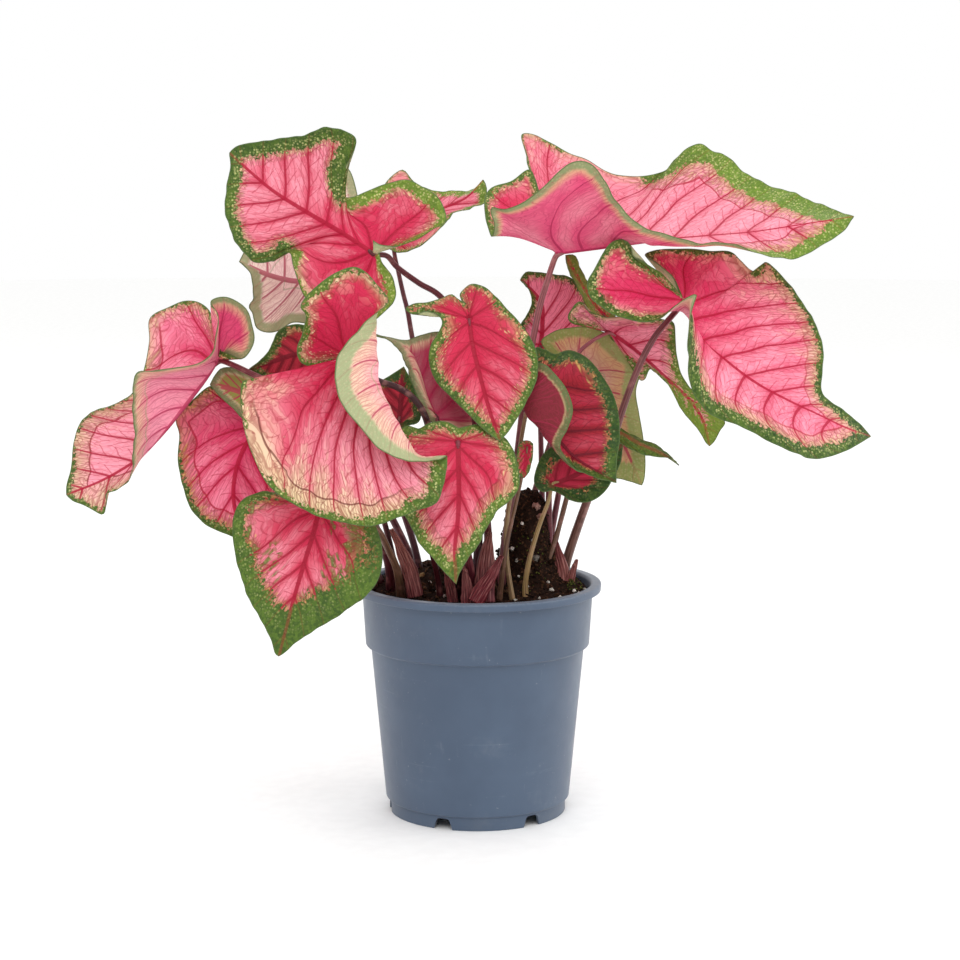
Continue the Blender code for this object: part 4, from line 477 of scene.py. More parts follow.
# Blades: hub where the stalk joins, sinus, rib from the hub to the tip, the two margins from the sinus to the tip,
# and where a half is folded the row of its middle points; the halves are named as seen with the tip down.
leaves = {
    "upper_left": {
        "hub": (-49, 271, -12), "sinus": (-47, 273.5, -11),
        "rib": [(-64, 280.5, -15), (-80, 290, -18), (-96, 300, -20), (-108, 310, -20), (-117.3, 318.5, -18)],
        "left": [(-50, 277.5, -12), (-45, 275, -12), (-34, 275.5, -12), (-24, 280, -10), (-16, 286, -6),
                 (-15.5, 291, -4), (-19, 298, -3), (-26, 302.5, -2), (-33.5, 306, -2), (-42, 304.5, -4),
                 (-52, 300.5, -6), (-60, 297.5, -8), (-65, 299, -10), (-65, 305, -14), (-62.5, 312, -20),
                 (-59, 318.5, -25), (-57.5, 323.5, -28), (-60.5, 328, -28), (-66.5, 330, -28), (-74, 329.8, -28),
                 (-84, 326.3, -26), (-94, 325.2, -22), (-104, 323.5, -20), (-113, 322, -18)],
        "right": [(-45.5, 267, -12), (-42, 262, -14), (-39, 255, -16), (-39, 250, -18), (-42, 245, -20),
                  (-50, 239, -20), (-62, 238, -20), (-74, 243, -22), (-82, 250, -26), (-85.5, 257, -28),
                  (-88, 265, -28), (-89, 271, -24), (-93, 271.5, -18), (-98, 267.5, -22), (-104, 266.5, -26),
                  (-109, 269, -28), (-114, 275, -28), (-118, 284, -26), (-119.8, 293, -24), (-118.8, 303, -22),
                  (-117, 311, -20)],
        "cup": (0, 0, 7), "hubShare": 0.42,
    },
    "behind_left": {
        "hub": (-78, 258, 38), "sinus": (-70, 262, 38),
        "rib": [(-88, 258, 36), (-100, 261, 34), (-113.5, 267, 34)],
        "left": [(-64, 250, 40), (-68, 241, 40), (-78, 237.5, 38), (-88, 238, 36), (-94, 234.5, 34),
                 (-101, 233.3, 32), (-106, 236, 32), (-107, 242, 32), (-109, 245.5, 32), (-107.2, 250, 32),
                 (-107, 256, 32), (-108.5, 262, 32)],
        "right": [(-61, 275, 44), (-56.5, 290, 48), (-57.5, 302, 50), (-61.5, 311.5, 50), (-68, 308, 48),
                  (-80, 300, 46), (-95, 290, 42), (-107, 278, 38)],
        "cup": (0, 0, 4), "hubShare": 0.35,
    },
    "top_centre": {
        "hub": (-40, 279, 50), "sinus": (-44, 281, 50),
        "rib": [(-28, 287, 50), (-14, 293.5, 50), (-5, 298, 50), (2.5, 306, 50)],
        "left": [(-42, 273, 46), (-32, 272, 40), (-22, 279, 36), (-16, 285, 36), (-10, 290.5, 36), (-1, 293, 38),
                 (3.5, 295, 42), (4.5, 302, 46)],
        "right": [(-46, 290, 56), (-45, 302, 62), (-36, 310.5, 66), (-30, 305, 64), (-22, 301, 62),
                  (-12, 300.5, 60), (-2, 301.3, 56)],
        "cup": (0, 0, 5), "hubShare": 0.35,
    },
    "front": {
        "hub": (-62, 222, -70), "sinus": (-69, 217.3, -72),
        "rib": [(-59, 208, -72), (-54, 193, -74), (-46, 180, -76), (-33, 173, -78), (-14.5, 173.5, -80)],
        "right": [(-78, 216.5, -76), (-84.5, 219, -78), (-86, 225, -80), (-83.5, 234, -82), (-82.3, 241, -82),
                 (-84.5, 246, -82), (-79, 253, -80), (-70, 260.5, -78), (-60, 264.6, -76), (-53.5, 262.5, -76),
                 (-47.5, 256, -77), (-42.2, 249, -80), (-44.5, 245, -84), (-50, 240.5, -90), (-57.5, 234, -95),
                 (-64, 227, -98), (-67.5, 219, -98), (-68.3, 210, -98), (-66, 201, -98), (-61, 193, -98),
                 (-55, 186, -98), (-48, 178, -97), (-40, 173.2, -95), (-31, 171.2, -92), (-22, 171.2, -87)],
        "rightMid": [(-71, 220, -72), (-73.5, 224, -74), (-73, 232, -75), (-73, 240, -76), (-67, 248, -76),
                     (-61, 247, -75), (-56, 243, -75), (-52, 240, -76), (-49.5, 235, -78), (-48.5, 228, -81),
                     (-48.2, 220, -84), (-48, 211, -86), (-45, 203, -87), (-41.5, 196, -87), (-37.5, 188, -87),
                     (-33, 180.5, -86), (-28, 173.5, -84)],
        "left": [(-75, 214, -68), (-86, 215.2, -66), (-93, 212, -67), (-95, 208, -74), (-101, 209.2, -80),
                  (-107, 211, -82), (-112.3, 210.5, -84), (-113.7, 203, -86), (-113, 193, -86), (-110.5, 181, -88),
                  (-107, 171.5, -88), (-102, 161.5, -88), (-94, 153.8, -88), (-84, 147.7, -88), (-73, 143.2, -88),
                  (-60, 140.3, -88), (-49, 139.8, -86), (-39, 143.7, -84), (-28, 147.5, -82), (-20.5, 150.5, -82),
                  (-16.8, 158, -81), (-15, 166, -80)],
        "cup": (0, 0, -6), "hubShare": 0.36,
    },
    "far_left": {
        "hub": (-124.5, 220, -30), "sinus": (-122.8, 224.5, -31),
        "rib": [(-131, 210, -32), (-141, 197, -34), (-151, 185, -34), (-161, 174.5, -33), (-170, 168, -32),
                (-183, 161, -33), (-198.3, 155, -35)],
        "right": [(-118, 222.8, -34), (-112.5, 221, -37), (-108, 226, -38), (-106.6, 234, -38), (-109, 242.5, -37),
                 (-113.5, 247.5, -36), (-120, 250, -38), (-127.5, 248, -42), (-124, 241, -47),
                 (-125.2, 232, -50), (-127, 224, -52), (-134, 218.7, -52), (-145, 216.6, -52), (-156, 215.2, -52),
                 (-163, 213.3, -51), (-165.3, 207, -50), (-165.2, 196, -49), (-165, 183, -48), (-166, 171, -45),
                 (-168.3, 161, -41), (-174, 157.5, -38), (-179.5, 155, -36), (-178.5, 150, -36),
                 (-181, 145.3, -36), (-188, 149, -36), (-195, 151.8, -36)],
        "left": [(-125, 236, -20), (-130, 246, -14), (-138, 248.6, -10), (-148, 245.3, -8), (-156.5, 240, -8),
                  (-157, 229, -12), (-160, 215, -16), (-166, 204, -18), (-174, 199, -18), (-183, 196, -18),
                  (-190, 191, -21), (-194, 181, -24), (-195.7, 168, -29), (-198, 160, -33)],
        "cup": (0, 0, 5), "hubShare": 0.34,
    },
    "lower_left": {
        "hub": (-103, 190, -14), "sinus": (-98, 196, -14),
        "rib": [(-112, 178, -18), (-117, 163, -20), (-117, 148, -20), (-111, 131, -18)],
        "right": [(-94, 190, -12), (-90, 178, -14), (-92, 162, -16), (-96, 148, -16), (-101, 138, -16)],
        "left": [(-108, 205, -10), (-120, 208.5, -10), (-128.5, 207.5, -12), (-135, 202.5, -14),
                  (-141, 197, -16), (-145, 191.2, -18), (-143.5, 184, -20), (-144.3, 174, -22), (-143, 164, -23),
                  (-141, 155, -24), (-137.5, 147, -24), (-131, 140, -23), (-122, 136, -22)],
        "cup": (0, 0, 5), "hubShare": 0.4,
    },
    "small_olive": {
        "hub": (-103, 199, -24), "sinus": (-99, 202, -24),
        "rib": [(-112, 204, -25), (-121, 207, -26), (-128.3, 208.3, -27)],
        "right": [(-100, 208, -22), (-108, 213.5, -22), (-116, 216.5, -23), (-122.5, 216.3, -24),
                 (-126, 212.5, -26)],
        "left": [(-101, 190, -24), (-107, 186.5, -25), (-113, 192, -26), (-118, 197.5, -27), (-123.5, 202.5, -27)],
        "cup": (0, 0, 2), "hubShare": 0.4,
    },
    "left_centre": {
        "hub": (-82, 224, -10), "sinus": (-77, 226, -10),
        "rib": [(-90, 222, -11), (-99, 219, -12), (-109.3, 215.7, -14)],
        "right": [(-76, 214, -8), (-84, 207, -8), (-94, 206.5, -9), (-102, 210.5, -11)],
        "left": [(-74, 232, -10), (-82, 237, -10), (-90.5, 236.7, -10), (-96, 233, -11), (-99, 226, -12),
                  (-103.5, 220.5, -13)],
        "cup": (0, 0, 4), "hubShare": 0.38,
    },
    "lower_front": {
        "hub": (-76, 150, -63), "sinus": (-75, 155.5, -60),
        "rib": [(-79, 137, -67), (-83.5, 122.5, -69), (-88.5, 106, -71), (-92.5, 91, -72), (-96.7, 75.3, -72)],
        "left": [(-85, 157.5, -56), (-96, 156, -56), (-107, 156, -58), (-113.5, 152.5, -60), (-117.3, 146, -62),
                 (-118.3, 136, -64), (-116.6, 124, -66), (-114, 112.5, -68), (-109, 100, -70), (-103.7, 91, -71),
                 (-100, 82, -72), (-98.6, 77, -72)],
        "right": [(-65, 156, -58), (-54, 150, -60), (-49, 140, -64), (-46.2, 130, -66), (-46.3, 120, -67),
                  (-49, 111.5, -68), (-55, 104.7, -69), (-64, 98, -70), (-75, 90.8, -71), (-86, 84, -72),
                  (-93.5, 77.5, -72)],
        "cup": (0, 0, -5), "hubShare": 0.42,
    },
    "front_centre": {
        "hub": (-9.3, 181, -56), "sinus": (-9, 187.5, -54),
        "rib": [(-9.2, 170, -60), (-9, 156, -63), (-9.6, 142, -66), (-11, 128, -68), (-10.3, 111, -70)],
        "right": [(0, 189, -50), (8, 186, -50), (14.3, 181.5, -51), (18, 174, -52), (20.2, 166, -54),
                 (20, 158, -55), (15.3, 151.5, -57), (9.5, 147, -59), (4.5, 138.5, -62), (-0.5, 129, -65),
                 (-5, 123, -67), (-8.5, 117, -69)],
        "left": [(-15, 190.5, -52), (-22, 190, -52), (-28, 187.6, -54), (-34, 188.5, -54), (-39, 184, -56),
                  (-42, 174, -58), (-41, 162, -60), (-38, 151, -62), (-34, 143, -63), (-28.5, 132, -65),
                  (-21.5, 123.5, -67), (-14.5, 115.5, -69)],
        "cup": (0, 0, -4), "hubShare": 0.42,
    },
    "upper_centre": {
        "hub": (-4, 240, -36), "sinus": (-5.5, 247, -35),
        "rib": [(-2.5, 228, -40), (0.8, 214, -44), (4.5, 200, -48), (8, 189, -52), (10.8, 181.3, -56)],
        "right": [(-8.5, 250.5, -31), (-7, 254, -29), (-2, 256.5, -28), (4, 254.5, -30), (9, 250.5, -33),
                 (14, 244.7, -36), (20, 237.8, -39), (25.5, 230, -42), (28.5, 223, -43), (29, 215, -44),
                 (27, 207, -45), (23.5, 200, -47), (19, 192, -50), (14.5, 185, -54)],
        "left": [(-10, 249.8, -37), (-12.5, 251.7, -38), (-18, 249.5, -39), (-24, 247.7, -41),
                  (-31, 246.8, -43), (-34.5, 244.7, -44), (-30.5, 241.8, -44), (-24.5, 243.6, -43),
                  (-19, 241.5, -43), (-17, 238, -43), (-19, 233, -44), (-22.5, 227, -45), (-23.2, 219, -46),
                  (-20, 210, -48), (-13, 202.5, -50), (-5, 194.5, -52), (2.5, 187, -54), (7.5, 183, -56)],
        "cup": (0, 0, -4), "hubShare": 0.4,
    },
    "centre_back": {
        "hub": (-20, 191.5, -36), "sinus": (-18, 189, -35),
        "rib": [(-24, 200, -36), (-28, 209, -36), (-32, 219, -36), (-37, 227, -36), (-48.5, 232, -36)],
        "left": [(-24, 191.5, -38), (-28, 200.5, -40), (-31.5, 209.5, -41), (-34, 217, -41), (-36.5, 223, -41),
                 (-40, 227.5, -40), (-44, 230.3, -38)],
        "leftMid": [(-20, 193, -36.5), (-23, 198, -39), (-27, 207, -41), (-29, 217, -42), (-33, 225, -41),
                     (-39, 229, -39)],
        "right": [(-10, 184, -30), (2, 188, -26), (6, 200, -24), (3, 214, -22), (-4, 226, -22), (-13, 232.5, -24),
                  (-20, 233.8, -26), (-28, 231.8, -28), (-34, 229.8, -31), (-41, 230.8, -34)],
        "cup": (0, 0, 4), "hubShare": 0.35,
    },
    "small_dark": {
        "hub": (-37.5, 189.5, -46), "sinus": (-38, 187, -46),
        "rib": [(-37, 197, -44), (-36, 207, -43), (-35.5, 217, -43)],
        "left": [(-33, 188.5, -46), (-28, 190.5, -45), (-27, 196, -44), (-29, 203, -44), (-32, 211, -44)],
        "right": [(-50, 186, -50), (-57, 195, -50), (-56, 206, -48), (-46, 210.5, -45), (-40, 214, -42)],
        "cup": (0, 0, 2), "hubShare": 0.4,
    },
    "dark_folded": {
        "hub": (27, 206, -28), "sinus": (25, 214, -26),
        "rib": [(30, 195, -29), (37, 184, -30), (46, 173.5, -31), (56, 167, -33), (67, 161, -36)],
        "right": [(27, 225.5, -16), (32, 225.3, -17), (37, 223, -19), (43, 225, -18), (49, 223.3, -18),
                 (55, 218.8, -20), (60.5, 211.5, -22), (65.5, 202.5, -24), (68, 192, -26), (68.3, 181, -28),
                 (67, 171, -31)],
        "left": [(23, 216.5, -32), (27, 219, -38), (33, 217.5, -42), (39, 211.5, -43), (43.5, 204.5, -44),
                  (45.8, 196, -44), (43.5, 187.5, -43), (40, 180.5, -42), (41, 175, -41), (45.5, 169, -40),
                  (52, 165, -39), (60, 162.5, -38)],
        "leftMid": [(24, 212, -31), (22.5, 208, -34), (22, 203, -36), (22.7, 197, -37), (26, 191.5, -38),
                      (30, 187, -38), (34, 181, -38), (38, 176, -37), (45, 170, -37), (55, 165, -37)],
        "cup": (0, 0, 3), "hubShare": 0.38,
    },
    "small_lower": {
        "hub": (36, 160, -14), "sinus": (35.2, 157, -14),
        "rib": [(44, 163, -14), (55, 169, -14), (70, 179.5, -13)],
        "left": [(39, 155.8, -15), (45, 152.2, -16), (51, 151, -17), (57, 153, -17), (62, 157.3, -16),
                 (65.5, 163, -15), (69, 171, -14)],
        "right": [(31, 156.3, -14), (27.3, 160.5, -13), (28, 167, -12), (31, 174, -11), (36.5, 178.7, -11),
                  (46, 182, -11), (58, 184, -12)],
        "cup": (0, 0, 2), "hubShare": 0.4,
    },
    "upper_right": {
        "hub": (38.5, 271.3, -4), "sinus": (29, 299, 6),
        "rib": [(60, 274, -6), (85, 277.2, -8), (108, 279.3, -8), (130, 281.2, -8), (152, 284.5, -7),
                (166, 286.7, -6), (178.6, 288.7, -5)],
        "left": [(25, 310.5, 9), (16, 305.5, 7), (6, 301.5, 3), (3, 295, -5), (4.2, 287, -12), (6.6, 279, -19),
                 (8, 285, -26), (6.5, 292, -29), (13, 291.3, -31), (22, 294.7, -33), (31, 302, -35),
                 (39, 310, -37), (46, 314, -38), (53.5, 313, -38), (60.5, 305.5, -37), (65, 297, -35),
                 (70.5, 290, -34), (78, 284.3, -33), (90, 279.7, -32), (103, 276.5, -31), (116, 276, -29),
                 (128, 273.3, -27), (140, 269.4, -24), (150, 268.3, -20), (162, 273.7, -15), (173, 281, -10)],
        "leftMid": [(31, 291, 3), (27, 290, 1), (22, 287, -2), (21, 283, -7), (22, 278, -12),
                     (22, 280, -16), (25, 282, -18), (30, 284, -20), (36, 287, -22), (43, 290, -23),
                     (57, 291, -25), (65, 286, -25), (72, 281, -25), (80.5, 276, -23), (91, 274.6, -22),
                     (102.5, 274.6, -21), (114, 274.8, -20), (126, 274.5, -19), (137, 273.2, -17),
                     (149, 274, -15), (161, 278, -12), (171, 283, -8)],
        "right": [(25, 311.5, 12), (22.3, 320, 17), (20.6, 327, 21), (28, 326.6, 26), (36, 322.5, 30),
                  (44, 318, 33), (52, 315, 35), (60, 310, 37), (67, 307.7, 38), (79, 307.3, 39), (88, 309.8, 41),
                  (93.5, 316, 43), (99, 320, 44), (105, 322.8, 44), (111, 319.7, 42), (119, 316, 38),
                  (127, 309, 32), (137, 303.7, 26), (148, 300.3, 19), (160, 295.3, 10), (172, 290.7, 0)],
        "cup": (0, 0, 6), "hubShare": 0.3,
    },
    "right": {
        "hub": (98.5, 248.5, -6), "sinus": (96.5, 251.5, -4),
        "rib": [(106, 231, -12), (119, 219.5, -14), (134, 208.7, -14), (149, 200.7, -13), (164, 193.7, -8),
                (177, 187.5, -1), (189.2, 183.3, 8)],
        "left": [(92, 257, -6), (88, 261.5, -8), (84, 264, -10), (79, 267, -12), (74, 269.7, -14),
                 (72.7, 274, -15), (69, 277.6, -16), (63.5, 276, -18), (59.5, 271, -19), (55.5, 263.5, -21),
                 (52, 257, -23), (53.5, 250, -26), (58.5, 246.5, -28), (64, 242.7, -30), (72, 239.7, -31),
                 (80, 238.5, -32), (87.5, 240.3, -33), (94, 246, -34), (100, 250.3, -35), (104.5, 251.6, -36),
                 (103, 246, -37), (101.5, 239, -38), (100.6, 228, -38), (100.7, 216, -38), (103.7, 204, -37),
                 (111, 194.5, -36), (124, 189, -34), (139, 181.7, -31), (154, 174.5, -26), (165, 172.5, -19),
                 (178, 176.7, -7)],
        "leftMid": [(95, 253.5, -5), (91, 256.5, -7), (86, 260, -9), (80, 260.5, -11), (77, 256.5, -14),
                     (75.5, 251, -17), (79, 247, -20), (85, 244, -22), (90.5, 243, -23), (96, 245, -24),
                     (101, 244, -26), (103, 237, -28), (105.5, 228, -28), (108.5, 219, -29), (113, 210.5, -29),
                     (119.5, 203, -28), (129, 198, -27), (139, 193, -25), (148.5, 188.3, -22),
                     (158, 184.3, -18), (169, 181.3, -11), (179.5, 181.8, -2)],
        "right": [(93, 260, 0), (86, 266, 4), (80, 271, 8), (88, 273, 14), (98, 273, 18), (110, 272.5, 20),
                  (120, 272, 20), (125, 268, 19), (130, 263.3, 17), (133.5, 263, 17), (136.8, 267, 18),
                  (141.5, 264, 17), (148, 257, 15), (154.5, 248.5, 13), (160, 240, 10), (164, 231, 6),
                  (165.5, 222, 3), (165, 212, 0), (164.5, 206, -1), (168.5, 201, 0), (176, 195.7, 2),
                  (183, 190, 5)],
        "cup": (0, 0, 4), "hubShare": 0.36,
    },
    "behind_stem": {
        "hub": (30, 226, 42), "sinus": (32, 219, 42),
        "rib": [(31, 236, 41), (30, 248, 40), (20.4, 258.3, 38)],
        "right": [(20, 214, 44), (16, 224, 44), (20, 236, 42), (25.5, 246, 40), (24.5, 254, 39)],
        "left": [(44, 214, 44), (55, 222, 46), (57, 235, 47), (54, 247, 46), (49, 255.5, 44), (44, 259.7, 42),
                  (36, 261.3, 40), (29, 262, 39), (23, 262.3, 38)],
        "cup": (0, 0, 4), "hubShare": 0.4,
    },
    "slanting": {
        "hub": (62, 240, 18), "sinus": (64, 238, 18),
        "rib": [(56, 246, 18), (51, 254, 18), (46, 262, 18), (42, 270.3, 18)],
        "left": [(66, 242, 22), (62, 249, 22), (54, 256, 21), (49.5, 263, 20), (46.5, 270, 19)],
        "right": [(58, 237, 12), (53.5, 243, 12), (50, 250, 13), (46.5, 257, 14), (43, 263.5, 16)],
        "cup": (0, 0, 1), "hubShare": 0.3,
    },
    "right_underside": {
        "hub": (48, 213, 26), "sinus": (41, 217, 26),
        "rib": [(57, 204, 24), (65, 191, 22), (72, 176, 20), (79.3, 159.6, 18)],
        "left": [(34, 223, 26), (30.5, 229.5, 27), (37, 234, 27), (45, 235.8, 27), (53, 236, 26),
                 (62, 232.7, 24), (70, 227, 22), (77, 221.5, 20), (78, 214, 19), (76, 205, 18), (77.5, 195, 18),
                 (79.5, 184, 18), (80.8, 173, 18), (80.6, 164, 18)],
        "right": [(33, 214, 28), (28, 204, 30), (32, 192, 30), (42, 181, 28), (53, 171.5, 25), (62, 165, 22),
                  (70, 162.3, 20)],
        "cup": (0, 0, -4), "hubShare": 0.4,
    },
    "long_pink": {
        "hub": (63, 233.4, 9.3), "sinus": (59, 238, 11),
        "rib": [(67, 231, 9), (74, 225.7, 10), (81, 219.8, 11), (88.5, 213, 12), (96, 206.5, 13),
                (103, 199.5, 14), (108.5, 190, 14), (111.5, 178.5, 14)],
        "right": [(51, 236.2, 6.5), (44, 238.5, 2), (43.5, 243, 0), (48.5, 247.7, -2), (52.5, 244, -3),
                 (60, 241, -3), (68, 241, -2), (77, 242, 0), (86, 240.5, 3), (93.5, 238, 5), (94.7, 228, 7),
                 (97, 215, 9), (101, 208, 10), (108, 202, 11), (114, 196.5, 12), (119, 190.5, 12),
                 (116.5, 186, 13), (114, 181, 14)],
        "left": [(64, 230, 13), (70, 225.5, 15), (76.5, 212, 17), (80, 210.7, 17), (83, 216, 16),
                  (89, 210.5, 16), (94, 205.5, 17), (96, 199.5, 17), (100.5, 192.7, 17), (106, 186.5, 16),
                  (109.5, 180.5, 15)],
        "cup": (0, 0, 3), "hubShare": 0.3,
    },
    "edge_on": {
        "hub": (53, 193, 6), "sinus": (50, 194.5, 6),
        "rib": [(66, 187, 6), (78, 180, 7), (88, 175.7, 9), (97.3, 169.5, 11)],
        "left": [(47, 188, 4), (55, 182.5, 3), (65, 182.3, 4), (72, 178, 5), (79, 174.7, 6), (86, 173.3, 8),
                 (92.5, 172.7, 10)],
        "right": [(47, 200, 8), (56, 199, 9), (66, 190, 9.5), (74, 184, 10), (81, 181, 11), (88, 178, 12)],
        "cup": (0, 0, 1), "hubShare": 0.4,
    },
    "small_green": {
        "hub": (24, 178.5, -30), "sinus": (23.6, 181.5, -30),
        "rib": [(23.6, 173, -31), (22.6, 163, -32)],
        "left": [(20, 180, -32), (18.5, 172, -33), (19.8, 165, -33)],
        "right": [(26.6, 180, -28.6), (26.4, 173, -28.8), (25, 166.5, -30)],
        "cup": (0, 0, 1), "hubShare": 0.4,
    },
    "back_right": {
        "hub": (46, 226, 74), "sinus": (40, 228, 76),
        "rib": [(54, 220, 80), (62, 208, 88), (68, 192, 94)],
        "left": [(40, 236, 72), (50, 238, 70), (62, 232, 72), (70, 222, 80), (73, 208, 88)],
        "right": [(32, 232, 78), (27, 222, 82), (32, 208, 90), (44, 196, 97), (56, 190, 98)],
        "cup": (0, 0, -6), "hubShare": 0.4,
    },
    "back_left": {
        "hub": (-82, 224, 66), "sinus": (-76, 228, 68),
        "rib": [(-88, 214, 72), (-91, 202, 78), (-90, 186, 80)],
        "left": [(-66, 232, 72), (-58, 224, 76), (-60, 208, 80), (-70, 194, 84), (-81, 187, 83)],
        "right": [(-80, 236, 64), (-92, 236, 62), (-99, 226, 64), (-101, 210, 70), (-97, 196, 76)],
        "cup": (0, 0, -6), "hubShare": 0.4,
    },
    "back_centre": {
        "hub": (2, 224, 56), "sinus": (2, 229, 58),
        "rib": [(4, 214, 62), (5, 200, 68), (3, 184, 70)],
        "right": [(-6, 234, 54), (-15, 228, 56), (-18, 214, 62), (-13, 198, 68), (-5, 188, 70)],
        "left": [(9, 236, 54), (19, 230, 56), (24, 216, 62), (20, 200, 68), (11, 188, 70)],
        "cup": (0, 0, -5), "hubShare": 0.4,
    },
}
# Stalks: points from under the hub down to the soil, then the radius at the top and at the foot, in mm
stalks = {
    "upper_left": ([(-43, 269.8, -6), (-38, 264.3, -3), (-28, 257, 1), (-17, 249.8, 3), (-6, 232, 5),
                    (0, 195, 7), (1, 150, 6), (-1, 106, 5)], 1.5, 2.6),
    "behind_left": ([(-72, 243, 33), (-61, 215, 32), (-46, 175, 27), (-32, 135, 22),
                     (-26, 108, 20)], 1.3, 2.2),
    "top_centre": ([(-39.5, 271, 53), (-37.6, 262, 48), (-35.4, 252, 43), (-33.2, 243, 38), (-31, 230, 33),
                    (-26, 205, 27), (-20, 160, 20), (-14, 107, 15)], 1.2, 2.2),
    "front": ([(-54, 214, -63), (-47, 210, -60), (-38, 206.8, -57), (-31, 202, -54), (-25.5, 194, -49),
               (-22, 181, -45), (-18, 155, -38), (-11, 125, -24), (-8, 104, -16)], 1.5, 2.8),
    "far_left": ([(-118, 218.2, -34), (-109, 214, -38), (-98, 208.5, -42), (-88, 201, -44), (-70, 180, -38),
                  (-55, 152, -26), (-44, 125, -10), (-42, 107, -4)], 1.5, 2.6),
    "lower_left": ([(-94, 181, -8), (-76, 160, -2), (-58, 135, 4), (-47, 112, 8)], 1.3, 2.2),
    "small_olive": ([(-94, 190, -25), (-78, 168, -16), (-62, 142, -6), (-52, 120, 2),
                     (-49, 106, 4)], 0.9, 1.5),
    "left_centre": ([(-74, 212, -2), (-60, 180, 6), (-46, 145, 14), (-38, 110, 18)], 1.1, 1.9),
    "lower_front": ([(-66, 149, -55), (-56, 145, -49), (-48.5, 138.3, -42), (-43.5, 129, -34),
                     (-39, 118, -24), (-37, 105, -14)], 1.4, 2.4),
    "front_centre": ([(-9, 165, -50), (-7, 140, -38), (-3, 115, -24), (-2, 103, -20)], 1.5, 2.6),
    "upper_centre": ([(-4.5, 228, -34), (-3.5, 208, -34), (-0.5, 185, -32), (4, 150, -20), (6, 120, -12),
                      (6, 104, -10)], 1.4, 2.4),
    "centre_back": ([(-19, 184, -38), (-17, 170, -32), (-13, 140, -19), (-9, 112, -7),
                     (-9, 104, -5)], 1.2, 2.0),
    "small_dark": ([(-34, 178, -40), (-28, 150, -30), (-20, 118, -16), (-18, 104, -14)], 1.0, 1.8),
    "dark_folded": ([(23, 193, -20), (19, 170, -16), (14.5, 145, -15), (14, 125, -16),
                     (17, 103, -17)], 1.1, 1.5),
    "small_lower": ([(34.3, 152, -11), (29.5, 139, -11), (25.3, 124, -11), (23.2, 112, -11),
                     (23.5, 103, -12)], 1.0, 1.7),
    "upper_right": ([(35.3, 264.5, 0), (33, 257, 1), (30, 247, 2), (26.5, 230, 3), (23.5, 212, 4),
                     (20.5, 185, 4), (17, 155, 2), (12.5, 125, 0), (12, 106, 0)], 1.6, 2.6),
    "right": ([(95.5, 244.5, -4.5), (90, 238, -7), (84.5, 231, -8), (79, 221, -7), (74, 209, -5),
               (69.5, 196, -4), (65, 182, -4), (57, 163, 3), (49, 141, 15), (43, 122, 23),
               (41.5, 110, 25)], 1.6, 2.8),
    "behind_stem": ([(30, 200, 44), (31, 160, 40), (32, 112, 37)], 1.3, 2.0),
    "slanting": ([(62.5, 238, 26), (61, 231, 34), (55, 200, 40), (42, 150, 38), (33, 112, 31)], 1.0, 1.6),
    "right_underside": ([(46, 196, 21), (39, 155, 22), (31, 110, 25)], 1.3, 2.2),
    "long_pink": ([(58, 231.2, 4.6), (53.5, 228.3, 5.4), (48.5, 223.5, 8), (43, 212, 9), (37, 190, 9), (34.5, 160, 11),
                   (34.8, 130, 14), (35.5, 112, 15)], 1.0, 2.2),
    "edge_on": ([(49, 180, 10), (41, 145, 9), (29.5, 108, 8)], 1.0, 1.6),
    "small_green": ([(23.2, 175, -26.6), (20.5, 160, -24), (14, 130, -22), (10.5, 103, -20)], 0.9, 1.5),
    "back_right": ([(38, 190, 64), (26, 150, 52), (20, 111, 44)], 1.4, 2.4),
    "back_left": ([(-68, 190, 58), (-42, 145, 46), (-26, 110, 38)], 1.4, 2.4),
    "back_centre": ([(3, 190, 48), (4, 150, 40), (6, 109, 34)], 1.3, 2.2),
}
# leaves whose stalk joins them from the front
stalkInFront = ("behind_left", "centre_back", "right_underside", "small_olive", "long_pink", "back_right",
                  "back_left", "back_centre")
# Old sheaths: points along the middle line from the tip down to the soil, the greatest width and how thick, in mm.
sheaths = {
    "sheath_left": ([(-41, 137, -17), (-37, 128, -19), (-33, 118, -21), (-30, 105, -22)], 8.0, 1.6),
    "sheath_centre": ([(6, 137, -22), (4.5, 126, -24), (3.5, 114, -26), (3.2, 102.5, -26.8)], 10.4, 2.2),
    "sheath_front": ([(11, 124, -28), (7, 116, -31.5), (2, 108, -33), (-1.5, 102, -34.5)], 8.0, 1.6),
    "sheath_right": ([(37, 134, 19), (38.5, 127, 16), (40.5, 119, 12), (41, 108, 9)], 8.0, 1.6),
}
